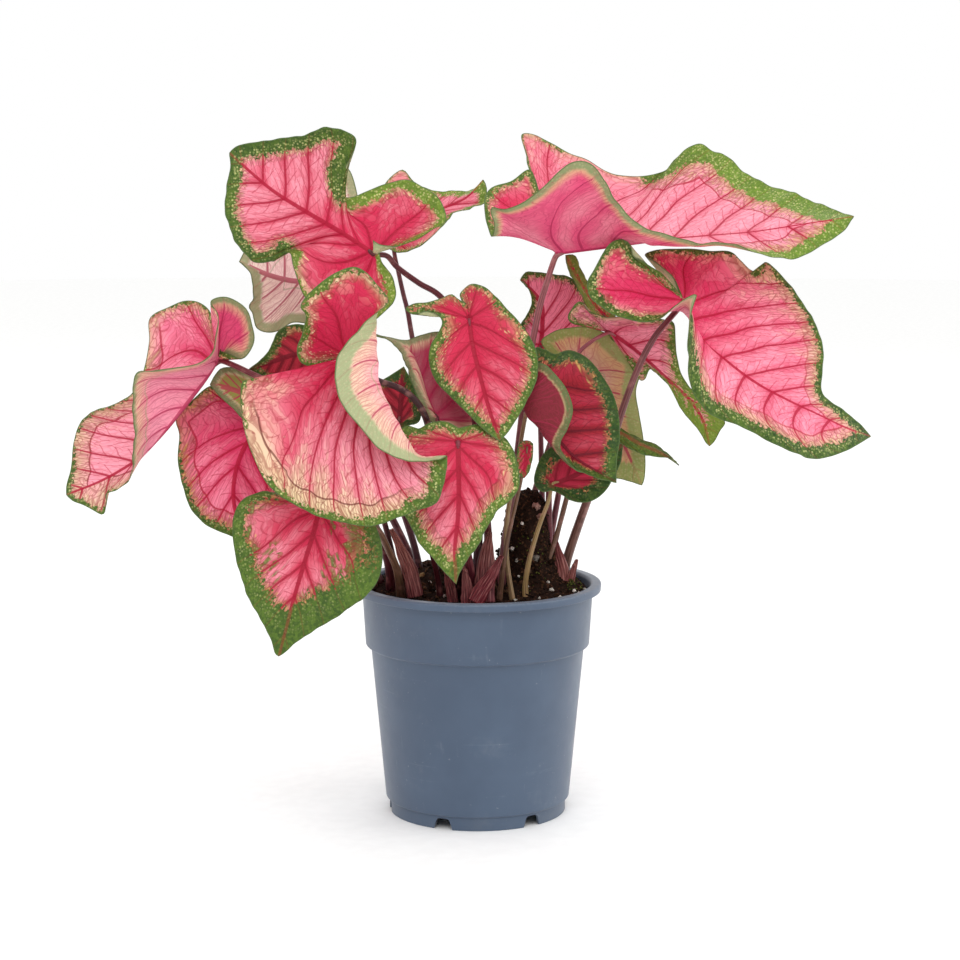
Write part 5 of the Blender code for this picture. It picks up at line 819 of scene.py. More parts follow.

# What a leaf's two faces show; widths of the green band and of the cream zone inside it are in mm, the rest are
# shares. A pair list gives a value along the margin: 0 is the sinus, 1 the tip. "under" stands for the underside,
# and Left or Right at the end is for one half alone.
# crimson darkens a face to deep red: the colour of a red leaf, and painted shade where a leaf lies in shade
commonLook = {
    "green": 4.0, "cream": 4.5, "creamIn": 0.06, "pale": 0.30, "crimson": 0.0, "mottle": 0.0,
    "leafy": 0.45, "tan": 0.25, "brown": 0.1,
    "underGreen": 3.5, "underCream": 5.0, "underCreamIn": 0.0, "underPale": 0.45, "underCrimson": 0.0,
    "underMottle": 0.0, "underLeafy": 0.7, "underTan": 0.1, "underBrown": 0.1,
}
leafLooks = {
    "upper_left": {
        "greenRight": [(0, 4.5), (0.2, 4), (0.4, 2.5), (0.6, 5), (0.8, 5.5), (1, 6)],
        "greenLeft": [(0, 4), (0.15, 4), (0.35, 5.5), (0.5, 3), (0.65, 7), (0.85, 7), (1, 7)],
        "cream": 3.6, "creamIn": 0.04, "pale": [(0, 0.18), (0.3, 0.26), (1, 0.38)],
        "leafy": [(0, 0.75), (0.45, 0.8), (0.6, 0.3), (1, 0.2)], "tan": 0.35, "brown": 0.1,
    },
    # painted glow: an underside pale tone above 0.9 paints light shining through this shaded blade
    "behind_left": {"underGreen": 5.0, "underCream": 12.0, "underPale": 1.5, "underTan": 0.0, "underLeafy": 0.8},
    "top_centre": {
        "green": [(0, 1.5), (0.5, 1.2), (0.85, 4), (1, 9)], "cream": 2.0, "pale": 0.45, "leafy": 0.75,
        "underGreen": [(0, 1.5), (0.8, 3), (1, 8)], "underPale": 0.5,
    },
    "front": {
        "greenLeft": [(0, 1.5), (0.2, 1.3), (0.6, 2.3), (0.72, 3.5), (0.85, 6), (1, 8)],
        "creamLeft": [(0, 4), (0.3, 4.5), (0.36, 6.3), (0.7, 6.2), (0.9, 5), (1, 3)],
        "creamInLeft": [(0, 0.0), (0.3, 0.10), (0.5, 0.30), (0.7, 0.32), (0.9, 0.1), (1, 0.0)],
        "greenRight": [(0, 3), (0.25, 2.5), (0.4, 3.2), (1, 3)], "creamRight": [(0, 4), (0.3, 5), (0.5, 3), (1, 3)],
        "pale": [(0, 0.08), (0.3, 0.20), (0.6, 0.42), (1, 0.50)], "paleRight": 0.05, "tan": 0.25, "brown": 0.15, "leafy": 0.35,
        "underGreen": [(0, 3), (0.35, 4), (0.5, 8), (0.8, 7), (1, 3)], "underCream": 11.0, "underPale": 0.6,
        "underCreamIn": 0.15, "underLeafy": 0.8,
    },
    "far_left": {
        "green": [(0, 1.5), (0.4, 1.2), (0.5, 0.7), (0.85, 0.8), (1, 3)],
        "cream": [(0, 4), (0.4, 5), (0.8, 7), (1, 7)],
        "creamLeft": [(0, 4), (0.3, 5), (0.5, 6.5), (0.8, 7), (1, 8)], "creamIn": [(0, 0.0), (0.5, 0.10), (1, 0.22)],
        "pale": [(0, 0.32), (0.4, 0.48), (0.7, 1.0), (1, 1.0)], "tan": [(0, 0.6), (0.5, 0.35), (1, 0.2)],
        "leafy": 0.3, "brown": [(0, -0.4), (0.4, -0.3), (0.7, 0.05), (1, 0.1)],
        "underGreen": [(0, 3), (0.3, 3), (0.4, 2), (1, 2)], "underCream": [(0, 3), (0.3, 4), (1, 8)],
        "underPale": [(0, 0.05), (0.2, 0.05), (0.35, 0.60), (1, 0.85)],
        "underTan": 0.35, "underLeafy": 0.3, "underBrown": -0.5,
    },
    "lower_left": {
        "green": [(0, 1.2), (0.5, 1.2), (0.8, 2.8), (1, 6)], "cream": 6.5, "pale": 0.32, "tan": 0.95, "leafy": 0.2,
        "brown": -0.3, "creamIn": 0.02,
    },
    # painted shade: this underside lies in shade, and its crimson share darkens it
    "small_olive": {"underMottle": 0.6, "underGreen": 3.0, "underLeafy": 0.1, "underCream": 0.3, "underPale": 0.2,
                    "underCrimson": 0.6, "mottle": 0.9, "leafy": 0.1, "green": 6.0},
    "left_centre": {"crimson": 0.7, "green": 3.5, "leafy": 0.1, "cream": 1.5, "tan": 0.8, "pale": 0.05,
                    "brown": 0.4},
    "lower_front": {
        "greenLeft": [(0, 5), (0.15, 5), (0.35, 6), (0.5, 7.5), (0.7, 9), (0.85, 12), (1, 20)],
        "greenRight": [(0, 4), (0.25, 4), (0.42, 7), (0.6, 13), (0.75, 15), (0.9, 16), (1, 20)],
        # painted shade: a little crimson darkens this low leaf, which lies in shade
        "cream": 4.5, "creamIn": 0.06, "pale": 0.38, "crimson": 0.08, "leafy": 0.30, "tan": 1.0, "brown": 0.2,
        "mottleLeft": [(0, 0.45), (0.4, 0.40), (0.7, 0.5), (1, 0.7)],
        "mottleRight": [(0, 0.45), (0.4, 0.6), (0.7, 0.7), (1, 0.7)],
    },
    "front_centre": {
        "green": [(0, 3.5), (0.4, 4.5), (0.8, 5), (1, 8)], "cream": [(0, 3), (0.5, 5.5), (1, 5)],
        "creamIn": 0.14, "pale": 0.30, "leafy": 0.35, "tan": 0.55, "brown": 0.2, "crimson": 0.1,
    },
    "upper_centre": {
        "green": [(0, 1.0), (0.25, 1.5), (0.4, 3.6), (1, 4.0)], "cream": [(0, 2), (0.4, 4.7), (1, 4.7)],
        "creamIn": 0.02, "pale": 0.18, "leafy": 0.3, "tan": 0.65, "brown": 0.2, "crimson": 0.1,
    },
    # painted shade: this underside lies in shade, and the crimson shares darken it to dark red
    "centre_back": {"underCrimson": 0.55, "underPale": 0.15, "underGreen": 3.0, "underLeafy": 0.45,
                    "underCream": 3.0, "crimson": 0.6, "pale": 0.1},
    "small_dark": {"crimson": 0.7, "green": 3.5, "leafy": 0.05, "cream": 1.0, "tan": 0.8, "pale": 0.1,
                   "brown": 0.4},
    "dark_folded": {
        "crimson": 0.86, "green": [(0, 4), (0.5, 5.5), (1, 5.5)], "cream": 2.6, "tan": 1.0, "pale": 0.1,
        "mottle": 0.0, "leafy": 0.08, "creamIn": 0.0, "brown": 0.15,
        # painted shade: the underside's crimson share also darkens the folded-over half, which lies in shade
        "underCrimson": 0.95, "underGreen": 3.5, "underLeafy": 0.0, "underPale": 0.05, "underCream": 0.0,
        "underTan": 0.5, "underMottle": 0.05, "underBrown": 0.4,
    },
    "small_lower": {"crimson": 0.5, "green": [(0, 4), (0.5, 6.5), (1, 9)], "leafy": 0.08, "cream": 1.8,
                    "tan": 1.0, "pale": 0.10, "mottle": 0.1, "creamIn": 0.0, "brown": 0.2},
    "upper_right": {
        "greenRight": [(0, 1.5), (0.3, 1.2), (0.44, 1.5), (0.56, 7), (0.68, 11), (0.85, 12), (1, 12)],
        "creamRight": [(0, 2), (0.46, 3), (0.58, 8), (0.7, 10), (0.85, 9), (1, 6)],
        "greenLeft": [(0, 2.5), (0.6, 2.5), (0.75, 4), (1, 8)],
        "creamLeft": [(0, 3), (0.7, 5), (0.85, 8), (1, 8)],
        "creamIn": [(0, 0.0), (0.5, 0.04), (1, 0.10)], "pale": [(0, 0.12), (0.35, 0.46), (1, 0.50)],
        "leafy": [(0, 0.35), (0.5, 0.45), (0.7, 0.8), (1, 0.65)], "tan": [(0, 0.5), (0.6, 0.5), (1, 0.9)],
        "brown": -0.05,
        "underGreen": [(0, 3.0), (0.3, 2.5), (0.4, 4), (0.5, 4), (0.6, 2.5), (1, 4)],
        "underCream": [(0, 1), (0.35, 1.5), (0.5, 3), (0.6, 2), (1, 4)],
        "underPale": 0.22, "underLeafy": 0.35, "underTan": 0.6, "underBrown": -0.1,
    },
    "right": {
        "greenLeft": [(0, 2.5), (0.2, 3), (0.42, 6), (0.55, 8), (0.7, 6), (1, 6)],
        "greenRight": [(0, 2.5), (0.3, 2.5), (0.6, 2.2), (0.8, 3.5), (1, 6)],
        "cream": [(0, 3), (0.5, 5), (1, 6)], "creamIn": [(0, 0.0), (0.5, 0.14), (1, 0.18)],
        "pale": [(0, -0.05), (0.2, 0.05), (0.4, 0.42), (1, 0.36)], "leafy": [(0, 0.3), (0.4, 0.2), (1, 0.15)],
        "tan": 0.4, "brown": -0.2,
        "underGreen": 2.5, "underPale": 0.4, "underCream": 5.0,
    },
    # painted light: the pale tone at its top and a rose hue keep this leaf, which lies in shade, as bright as if lit
    # through from behind
    "behind_stem": {"green": 2.2, "cream": 2.5, "creamIn": 0.0, "pale": 1.0, "leafy": 0.2, "tan": 0.5, "brown": -0.5,
                    "underPale": 0.8},
    "slanting": {"mottle": 0.9, "green": 6.0, "leafy": 0.75, "underMottle": 0.9, "underGreen": 5.0},
    "right_underside": {"underMottle": 0.35, "underGreenRight": [(0, 5), (0.5, 6), (1, 10)], "underGreen": 7.0,
                        "underGreenLeft": [(0, 5), (0.3, 5), (0.45, 8), (0.7, 7), (1, 7)],
                        "underLeafyLeft": [(0, 0.2), (0.3, 0.3), (0.45, 0.9), (0.7, 0.8), (1, 0.4)],
                        "underLeafy": 0.4, "underPale": 0.6, "underCream": 9.0, "underTan": 0.82, "mottle": 0.4,
                        "leafy": 0.4},
    "long_pink": {"underPale": 0.35, "underGreen": 3.0, "underLeafy": 0.35, "underCream": 4.0, "underTan": 0.4,
                  "green": [(0, 2.0), (0.5, 2.0), (0.8, 5), (1, 9)], "pale": 0.7, "tan": 0.5, "brown": -0.1,
                  "leafy": [(0, 0.3), (0.6, 0.45), (0.85, 1.0), (1, 1.0)], "cream": 5.0,
                  "mottle": [(0, 0), (0.6, 0.05), (0.8, 0.5), (1, 0.8)]},
    "edge_on": {"mottle": 0.9, "green": 7.0, "leafy": 0.35, "crimson": 0.2, "underMottle": 0.8, "underGreen": 5.0,
                "underLeafy": 0.35},
    "small_green": {"mottle": 0.6, "green": 1.2, "leafy": 0.4, "cream": 0.8, "underMottle": 0.8},
    "back_right": {"underPale": 0.4},
    "back_left": {"underPale": 0.5},
    "back_centre": {"underPale": 0.35, "underCrimson": 0.2},
}


# Blades. Every look is worked out from fields that the mesh carries, in mm: the vein order (a whole number on each
# side vein), the way out from the rib, the spacing of side veins, and the distances to margin, rib and hub.
bladeMake = {
    "pointSpacing": 1.3,        # mm between mesh points
    "ribEase": 1.35,            # how rays from the rib bunch up near the hub
    "hubRing": 0.7,             # mm, small ring round the hub where the rays start
    "thickness": 0.5,           # mm in the middle of the blade
    "edgeThickness": 0.22,      # mm at the margin
    "sideVeinDip": 0.22,        # mm, how deep a side vein lies in the upper face
    "ribDip": 0.30,
    "quilting": 0.32,           # mm, how far the panels between side veins puff up
    "underRib": 0.75,           # mm, how far the rib stands out below
    "underVein": 0.32,
    "ruffle": 0.55,             # mm, waves of the margin
    "veinBend": 0.33,           # how far side veins sweep towards the tip
    "veinWander": 0.12,         # how far they wander, as a share of their spacing
    "veinEvery": 23.0,          # mm of margin for one side vein of the front lobe
    "fewestVeins": 5,
    "mostVeins": 9,
    "lobeVeins": (0.14, 0.40, 0.70),   # shares of a back lobe
}


# a look value along the margin: one number, or (share, value) pairs with their corners rounded off
def profileAt(value, shares):
    if isinstance(value, (int, float)):
        return np.full(len(shares), float(value))
    near = np.asarray(shares)[:, None] + np.linspace(-0.06, 0.06, 9)[None, :]
    return np.interp(near, [pair[0] for pair in value], [pair[1] for pair in value]).mean(axis=1)


# points of one half, rows from the sinus to the tip, columns from the rib to the margin
def halfGrid(leaf, side, alongSteps, outSteps):
    hub, sinus, tip = placed(leaf["hub"])[0], placed(leaf["sinus"])[0], placed(leaf["rib"][-1])[0]
    along = np.linspace(0.0, 1.0, alongSteps + 1)
    share = leaf["hubShare"]
    start = sampled(np.vstack([hub, placed(leaf["rib"])]),
                    np.maximum(0.0, (along - share) / (1.0 - share)) ** bladeMake["ribEase"])
    end = sampled(np.vstack([sinus, placed(leaf[side]), tip]), along)
    ray = end - start
    length = np.linalg.norm(ray, axis=1, keepdims=True)
    if side + "Mid" in leaf:
        row = np.vstack([(hub + sinus) / 2.0, placed(leaf[side + "Mid"]), tip])
        half = sampled(row, along, byLength=False)
    else:
        cup = np.array([leaf["cup"][0], leaf["cup"][2], leaf["cup"][1]]) / 60.0
        half = (start + end) / 2.0 + cup * length * np.minimum(1.0, 6.0 * along)[:, None]
    # rays that start near the hub leave a small ring free round it
    away = np.linalg.norm(start - hub, axis=1, keepdims=True)
    first = np.maximum(0.0, bladeMake["hubRing"] * mm - away) / np.maximum(length, 1e-6)
    out = first + (1.0 - first) * np.linspace(0.0, 1.0, outSteps + 1)[None, :]
    out = np.clip(out, 0.0, 1.0)[:, :, None]
    points = (start[:, None] * (1 - 3 * out + 2 * out ** 2) + half[:, None] * (4 * out - 4 * out ** 2)
              + end[:, None] * (2 * out ** 2 - out))
    return points, along


# distance of each grid point to a line that runs along the rows, looked for near its own row
def distanceToLine(points, line, window):
    rows = len(line)
    best = np.full(points.shape[:2], 1e9)
    for k in range(-window, window):
        i = np.clip(np.arange(rows) + k, 0, rows - 2)
        a, b = line[i][:, None], line[i + 1][:, None]
        ab = b - a
        t = np.clip(((points - a) * ab).sum(2) / np.maximum((ab * ab).sum(2), 1e-14), 0.0, 1.0)
        best = np.minimum(best, np.linalg.norm(points - a - ab * t[:, :, None], axis=2))
    return best


# the fields of one half, in mm
def halfFields(points, along, leaf, hub, veinCount):
    rows = len(along)
    edge = distanceToLine(points, points[:, -1], int(rows * 0.11) + 4)
    rib = distanceToLine(points, points[:, 0], int(rows * 0.11) + 4)
    steps = np.linalg.norm(np.diff(points, axis=1), axis=2)
    reach = np.concatenate([np.zeros((rows, 1)), np.cumsum(steps, axis=1)], axis=1)
    out = reach / np.maximum(reach[:, -1:], 1e-9)
    share = leaf["hubShare"]
    marks = [v * share for v in bladeMake["lobeVeins"]]
    marks += [share + ((k + 0.45) / veinCount) * (1 - share) for k in range(veinCount)]
    inFront = np.clip((along - share) / (1.0 - share) * 4.0, 0.0, 1.0)[:, None]
    bent = along[:, None] - bladeMake["veinBend"] * inFront * out ** 1.2 * (1.0 - along[:, None])
    order = np.interp(bent, [-0.35] + marks + [1.02], np.arange(len(marks) + 2, dtype=float))
    wander = np.array([noise.noise(tuple(v)) for v in (points.reshape(-1, 3) / (20.0 * mm)).tolist()])
    fade = 1.0 - np.exp(-reach / (10.0 * mm))
    order = order + bladeMake["veinWander"] * wander.reshape(order.shape) * 2.0 * fade
    across = np.gradient(points, axis=0)
    ray = np.gradient(points, axis=1)
    ray /= np.maximum(np.linalg.norm(ray, axis=2, keepdims=True), 1e-9)
    wide = np.linalg.norm(across - (across * ray).sum(2, keepdims=True) * ray, axis=2)
    spacing = wide / np.maximum(np.abs(np.gradient(order, axis=0)), 1e-4)
    fromHub = np.linalg.norm(points - hub, axis=2)
    return {"order": order, "reach": reach / mm, "spacing": np.clip(spacing / mm, 0.5, 60.0),
            "edge": edge / mm, "rib": rib / mm, "hub": fromHub / mm, "out": out}


# zone and tone values of one half of one face
def bladeLooks(name, side, along, shape, under):
    look = dict(commonLook)
    look.update(leafLooks.get(name, {}))
    values = {}
    for key in ("green", "cream", "creamIn", "pale", "crimson", "mottle", "leafy", "tan", "brown"):
        if under:
            key, plain = "under" + key[0].upper() + key[1:], key
        else:
            plain = key
        value = look.get(key + side.capitalize(), look[key])
        values[plain] = np.repeat(profileAt(value, along)[:, None], shape[1], axis=1)
    return values


def buildBlade(name, leaf, number):
    hub = placed(leaf["hub"])[0]
    marginLength = max(np.linalg.norm(np.diff(smoothLine(placed(leaf[s])), axis=0), axis=1).sum()
                       for s in ("left", "right")) / mm
    spacing = bladeMake["pointSpacing"] * leaf.get("coarse", 1.0)
    alongSteps = int(marginLength / spacing)
    coarse = halfGrid(leaf, "left", 24, 1)[0], halfGrid(leaf, "right", 24, 1)[0]
    widest = max(np.linalg.norm(g[:, -1] - g[:, 0], axis=1).max() for g in coarse) / mm
    outSteps = int(widest * 1.15 / spacing)
    share = leaf["hubShare"]

    veinCount = int(np.clip(marginLength / bladeMake["veinEvery"], bladeMake["fewestVeins"], bladeMake["mostVeins"]))
    grids = {}
    for side in ("left", "right"):
        points, along = halfGrid(leaf, side, alongSteps, outSteps)
        grids[side] = (points, halfFields(points, along, leaf, hub, veinCount))
    joined = int(math.ceil(share * alongSteps))          # first row whose ray starts on the rib
    rows, cols = alongSteps + 1, outSteps + 1
    index = {"left": np.arange(rows * cols).reshape(rows, cols)}
    index["right"] = index["left"] + rows * cols
    index["right"][0] = index["left"][0]
    index["right"][joined:, 0] = index["left"][joined:, 0]
    tipIndex = index["left"][-1, 0]
    index["left"][-1] = tipIndex
    index["right"][-1] = tipIndex

    base = np.concatenate([grids[s][0].reshape(-1, 3) for s in ("left", "right")])
    fields = {key: np.concatenate([grids[s][1][key].ravel() for s in ("left", "right")])
              for key in grids["left"][1]}
    looks = {}
    for under in (False, True):
        halves = [bladeLooks(name, s, along, grids[s][0].shape, under) for s in ("left", "right")]
        looks[under] = {key: np.concatenate([h[key].ravel() for h in halves]) for key in halves[0]}
    signedReach = fields["reach"].copy()
    signedReach[rows * cols:] *= -1.0

    faces = []
    for side in ("left", "right"):
        ids = index[side]
        a, b, c, d = ids[:-1, :-1], ids[1:, :-1], ids[1:, 1:], ids[:-1, 1:]
        quads = np.stack([a, d, c, b] if side == "left" else [a, b, c, d], axis=-1).reshape(-1, 4)
        faces += quads.tolist()
    faces = [[v for k, v in enumerate(f) if v != f[k - 1]] for f in faces]
    faces = [f for f in faces if len(f) > 2]
    ring = [int(index["left"][i, 0]) for i in range(joined + 1)]
    ring += [int(index["right"][i, 0]) for i in range(joined - 1, 0, -1)]
    if leaf.get("hubSpread", True):
        faces.append(ring)

    used = np.unique(np.array([v for f in faces for v in f]))
    renumber = np.full(len(base), -1)
    renumber[used] = np.arange(len(used))
    faces = [[int(renumber[v]) for v in f] for f in faces]
    base = base[used]
    fields = {k: v[used] for k, v in fields.items()}
    looks = {u: {k: v[used] for k, v in looks[u].items()} for u in looks}
    signedReach = signedReach[used]

    # normals of the middle surface, waves of the margin, then both faces with their relief
    middle = meshFrom(name + "_middle", base, faces)
    normals = np.zeros(len(base) * 3, np.float32)
    middle.vertex_normals.foreach_get("vector", normals)
    normals = normals.reshape(-1, 3).astype(float)
    bpy.data.meshes.remove(middle)
    toEdge = np.exp(-fields["edge"] / 9.0)
    seed = 3.7 * number
    wave = np.sin(fields["order"] * 4.1 + seed) + 0.6 * np.sin(fields["order"] * 9.3 + 2.0 * seed)
    wave *= 1.0 - np.exp(-fields["reach"] / 12.0)
    base = base + normals * (wave * toEdge * bladeMake["ruffle"] * leaf.get("ruffle", 1.0) * mm)[:, None]
    fromVein = np.abs((fields["order"] + 0.5) % 1.0 - 0.5) * fields["spacing"]
    nearMargin = 1.0 - np.exp(-(fields["edge"] / 6.0) ** 2)
    farFromHub = 1.0 - np.exp(-(fields["reach"] / 5.0) ** 2)
    vein = np.exp(-(fromVein / 1.3) ** 2) * nearMargin * farFromHub
    ribLine = np.exp(-(fields["rib"] / 1.4) ** 2) * np.exp(-fields["hub"] / 160.0)
    panel = np.minimum(1.0, fromVein / 5.0) * nearMargin * farFromHub
    top = bladeMake["quilting"] * panel - bladeMake["sideVeinDip"] * vein - bladeMake["ribDip"] * ribLine
    below = bladeMake["underRib"] * ribLine + bladeMake["underVein"] * vein - 0.4 * bladeMake["quilting"] * panel
    thick = bladeMake["edgeThickness"] + (bladeMake["thickness"] - bladeMake["edgeThickness"]) \
        * np.minimum(1.0, fields["edge"] / 3.0)
    upper = base + normals * ((thick / 2.0 + top) * mm)[:, None]
    lower = base - normals * ((thick / 2.0 + below) * mm)[:, None]

    count = len(base)
    margin = [int(renumber[v]) for v in index["left"][:, -1]]
    marginRight = [int(renumber[v]) for v in index["right"][:, -1]]
    rim = [(b, a, a + count, b + count) for a, b in zip(margin, margin[1:])]
    rim += [(a, b, b + count, a + count) for a, b in zip(marginRight, marginRight[1:])]
    back = [[v + count for v in reversed(f)] for f in faces]
    mesh = bpy.data.meshes.new(name)
    mesh.from_pydata(np.concatenate([upper, lower]).tolist(), [], faces + back + rim)
    mesh.shade_smooth()
    twice = lambda values: np.concatenate([values, values])
    writeField(mesh, "veins", np.stack([twice(fields["order"]), twice(signedReach), twice(fields["spacing"])], 1))
    writeField(mesh, "places", np.stack([twice(fields["edge"]), twice(fields["rib"]), twice(fields["hub"])], 1))
    for field, keys in (("zones", ("green", "cream", "creamIn")), ("tones", ("pale", "crimson", "mottle")),
                        ("hues", ("leafy", "tan", "brown"))):
        writeField(mesh, field, np.stack([np.concatenate([looks[False][k], looks[True][k]]) for k in keys], 1))
    mesh.materials.append(bladeTop)
    mesh.materials.append(bladeUnder)
    slots = np.zeros(len(mesh.polygons), np.int32)
    slots[len(faces):len(faces) + len(back)] = 1
    mesh.polygons.foreach_set("material_index", slots)
    obj = linkedObject("leaf_" + name, mesh)
    settle(obj, "blade_" + name)
    nearHub = normals[fields["hub"] < 4.0].sum(axis=0)
    return -nearHub / np.linalg.norm(nearHub)


hubSide = {}                # for each leaf, the way from its hub to the side where the stalk stands
for number, (name, leaf) in enumerate(leaves.items()):
    hubSide[name] = buildBlade(name, leaf, number)
print("blades built,", len(leaves))

# Leaf stalk: smooth, fleshy and faintly glossy, striped lengthwise, darker towards the foot
stalkSkin, tree, surface = newMaterial("caladiumStalk")
calc, ramp, blend = sums(tree)
skin = addNode(tree, "ShaderNodeAttribute", {"attribute_name": "skin"}).outputs["Vector"]
turnA, turnB, lengthwise = fieldParts(tree, "grain")
grainPlace = addNode(tree, "ShaderNodeCombineXYZ", None, {0: calc("MULTIPLY", turnA, 3.2),
                                                       1: calc("MULTIPLY", turnB, 3.2),
                                                       2: calc("MULTIPLY", lengthwise, 0.045)})
stripes = addNode(tree, "ShaderNodeTexNoise", None, {"Vector": grainPlace.outputs[0], "Scale": 1.0, "Detail": 3.0})
blotches = addNode(tree, "ShaderNodeTexNoise", None,
                   {"Vector": addNode(tree, "ShaderNodeTexCoord").outputs["Object"], "Scale": 1000.0 / 5.0,
                    "Detail": 3.0})
darker = addNode(tree, "ShaderNodeMix", {"data_type": "RGBA", "blend_type": "MULTIPLY"})
tree.links.new(skin, darker.inputs[6])
darker.inputs[0].default_value = 1.0
tree.links.new(blend(ramp(stripes.outputs[0], 0.32, 0.66), linear("#a9969a"), linear("#ffffff")), darker.inputs[7])
pinker = blend(calc("MULTIPLY", ramp(blotches.outputs[0], 0.5, 0.75), 0.28), darker.outputs[2], linear("#c98f86"))
tree.links.new(pinker, surface.inputs["Base Color"])
surface.inputs["Roughness"].default_value = 0.36
surface.inputs["IOR"].default_value = 1.45
surface.inputs["Specular IOR Level"].default_value = 0.35
bump = addNode(tree, "ShaderNodeBump", None, {"Height": stripes.outputs[0], "Distance": 0.25 * mm, "Strength": 0.7})
tree.links.new(bump.outputs[0], surface.inputs["Normal"])

stalkMake = {"slim": 0.86, "sides": 16, "step": 1.5, "footSwell": 1.16, "footLength": 9.0, "topTaper": 3.0}
stalkColours = {            # top and foot
    "upper_left": ("#6d3238", "#4a2630"), "behind_left": ("#7d4650", "#54303a"),
    "top_centre": ("#6a3238", "#4f2a34"), "front": ("#431a1e", "#3a181c"), "far_left": ("#7c2e38", "#5a2a30"),
    "lower_left": ("#86404a", "#5c3236"), "small_olive": ("#7a5a40", "#5c4034"),
    "left_centre": ("#7a3038", "#502228"), "lower_front": ("#8c6a4c", "#6e5440"),
    "front_centre": ("#8a3a48", "#5e2630"), "upper_centre": ("#8c3a46", "#571f28"),
    "centre_back": ("#7a3440", "#561f28"), "small_dark": ("#6c2830", "#4c1c22"),
    "dark_folded": ("#a88c62", "#a38a62"), "small_lower": ("#a9905f", "#a08455"),
    "upper_right": ("#a9666a", "#7e4a50"), "right": ("#84464e", "#86685a"), "behind_stem": ("#8a4a54", "#5c303a"),
    "slanting": ("#8a5a48", "#7c5c4a"), "right_underside": ("#a25560", "#6c3a42"),
    "long_pink": ("#b0606a", "#7c4048"), "edge_on": ("#8a6a50", "#6c4c3c"), "small_green": ("#88684a", "#6a4c3a"),
    "back_right": ("#8a4a52", "#6e4c44"), "back_left": ("#8a4a52", "#5c3038"), "back_centre": ("#8a4a52", "#5c3038"),
}


# a closed tube along a line, in metres, with its turn and length at each point
def tube(line, radii, sides):
    line = np.asarray(line)
    tangents = np.gradient(line, axis=0)
    tangents /= np.linalg.norm(tangents, axis=1, keepdims=True)
    side = np.cross(tangents[0], (0.3, 1.0, 0.2))
    turns = np.arange(sides) * 2 * math.pi / sides
    points, grain = [line[0]], [(1.0, 0.0, 0.0)]
    length = 0.0
    for k, (centre, tangent, radius) in enumerate(zip(line, tangents, radii)):
        side = side - tangent * side.dot(tangent)
        side /= np.linalg.norm(side)
        other = np.cross(tangent, side)
        if k:
            length += np.linalg.norm(line[k] - line[k - 1]) / mm
        for turn in turns:
            points.append(centre + (side * math.cos(turn) + other * math.sin(turn)) * radius)
            grain.append((math.cos(turn), math.sin(turn), length))
    points.append(line[-1])
    grain.append((1.0, 0.0, length))
    faces = []
    last = len(points) - 1
    for k in range(len(line)):
        first = 1 + k * sides
        for j in range(sides):
            n = (j + 1) % sides
            if k == 0:
                faces.append((0, first + n, first + j))
            if k < len(line) - 1:
                faces.append((first + j, first + n, first + sides + n, first + sides + j))
            else:
                faces.append((first + j, first + n, last))
    return points, faces, grain


for name, (points, topRadius, footRadius) in stalks.items():
    hub = placed(leaves[name]["hub"])[0]
    away = hubSide[name]
    if (away[1] < 0) != (name in stalkInFront):
        away = np.array([0.0, -1.0 if name in stalkInFront else 1.0, 0.0])
    ribStart = placed(leaves[name]["rib"][0])[0]
    along = (ribStart - hub) / np.linalg.norm(ribStart - hub)
    join = hub + away * (topRadius * mm * 0.8 + 0.1 * mm)
    past = hub + along * 3.5 * mm + away * 0.25 * mm
    path = np.vstack([past, join, placed(points)])
    total = np.linalg.norm(np.diff(smoothLine(path), axis=0), axis=1).sum() / mm
    count = int(total / stalkMake["step"])
    shares = np.linspace(0.0, 1.0, count + 1)
    line = sampled(path, shares)
    down = shares * total
    radii = topRadius + (footRadius - topRadius) * shares ** 1.2
    radii = radii * (0.25 + 0.75 * np.minimum(1.0, (down + 0.4) / stalkMake["topTaper"]) ** 0.7)
    foot = np.clip(1.0 - (total - down) / stalkMake["footLength"], 0.0, 1.0)
    radii = radii * stalkMake["slim"] * (1.0 + (stalkMake["footSwell"] - 1.0) * foot)
    points, faces, grain = tube(line, radii * mm, stalkMake["sides"])
    mesh = meshFrom("stalk_" + name, points, faces)
    top, low = (np.array(linear(c)[:3]) for c in stalkColours[name])
    share = np.clip(np.array([g[2] for g in grain]) / total, 0.0, 1.0)[:, None]
    writeField(mesh, "skin", top * (1 - share) + low * share)
    writeField(mesh, "grain", grain)
    mesh.materials.append(stalkSkin)
    settle(linkedObject("leaf_stalk_" + name, mesh), "stalk_" + name)
print("stalks built,", len(stalks))

# Old leaf sheath: thin withered skin, ribbed lengthwise, torn at its tip
sheathPaper, tree, surface = newMaterial("witheredSheath")
calc, ramp, blend = sums(tree)
skin = addNode(tree, "ShaderNodeAttribute", {"attribute_name": "skin"}).outputs["Vector"]
across, lengthwise, rib = fieldParts(tree, "grain")
grainPlace = addNode(tree, "ShaderNodeCombineXYZ", None, {0: calc("MULTIPLY", across, 1.5),
                                                       1: calc("MULTIPLY", lengthwise, 0.12)})
fibres = addNode(tree, "ShaderNodeTexNoise", None, {"Vector": grainPlace.outputs[0], "Scale": 1.0, "Detail": 4.0})
fibre = ramp(fibres.outputs[0], 0.46, 0.68)
lighter = addNode(tree, "ShaderNodeMix", {"data_type": "RGBA", "blend_type": "MULTIPLY"}, {0: 1.0})
tree.links.new(skin, lighter.inputs[6])
tree.links.new(blend(ramp(fibres.outputs[0], 0.25, 0.6), linear("#6c5c5e"), linear("#e6e2e2")), lighter.inputs[7])
tree.links.new(blend(calc("MULTIPLY", fibre, 0.28), lighter.outputs[2], linear("#d9a79a")),
               surface.inputs["Base Color"])
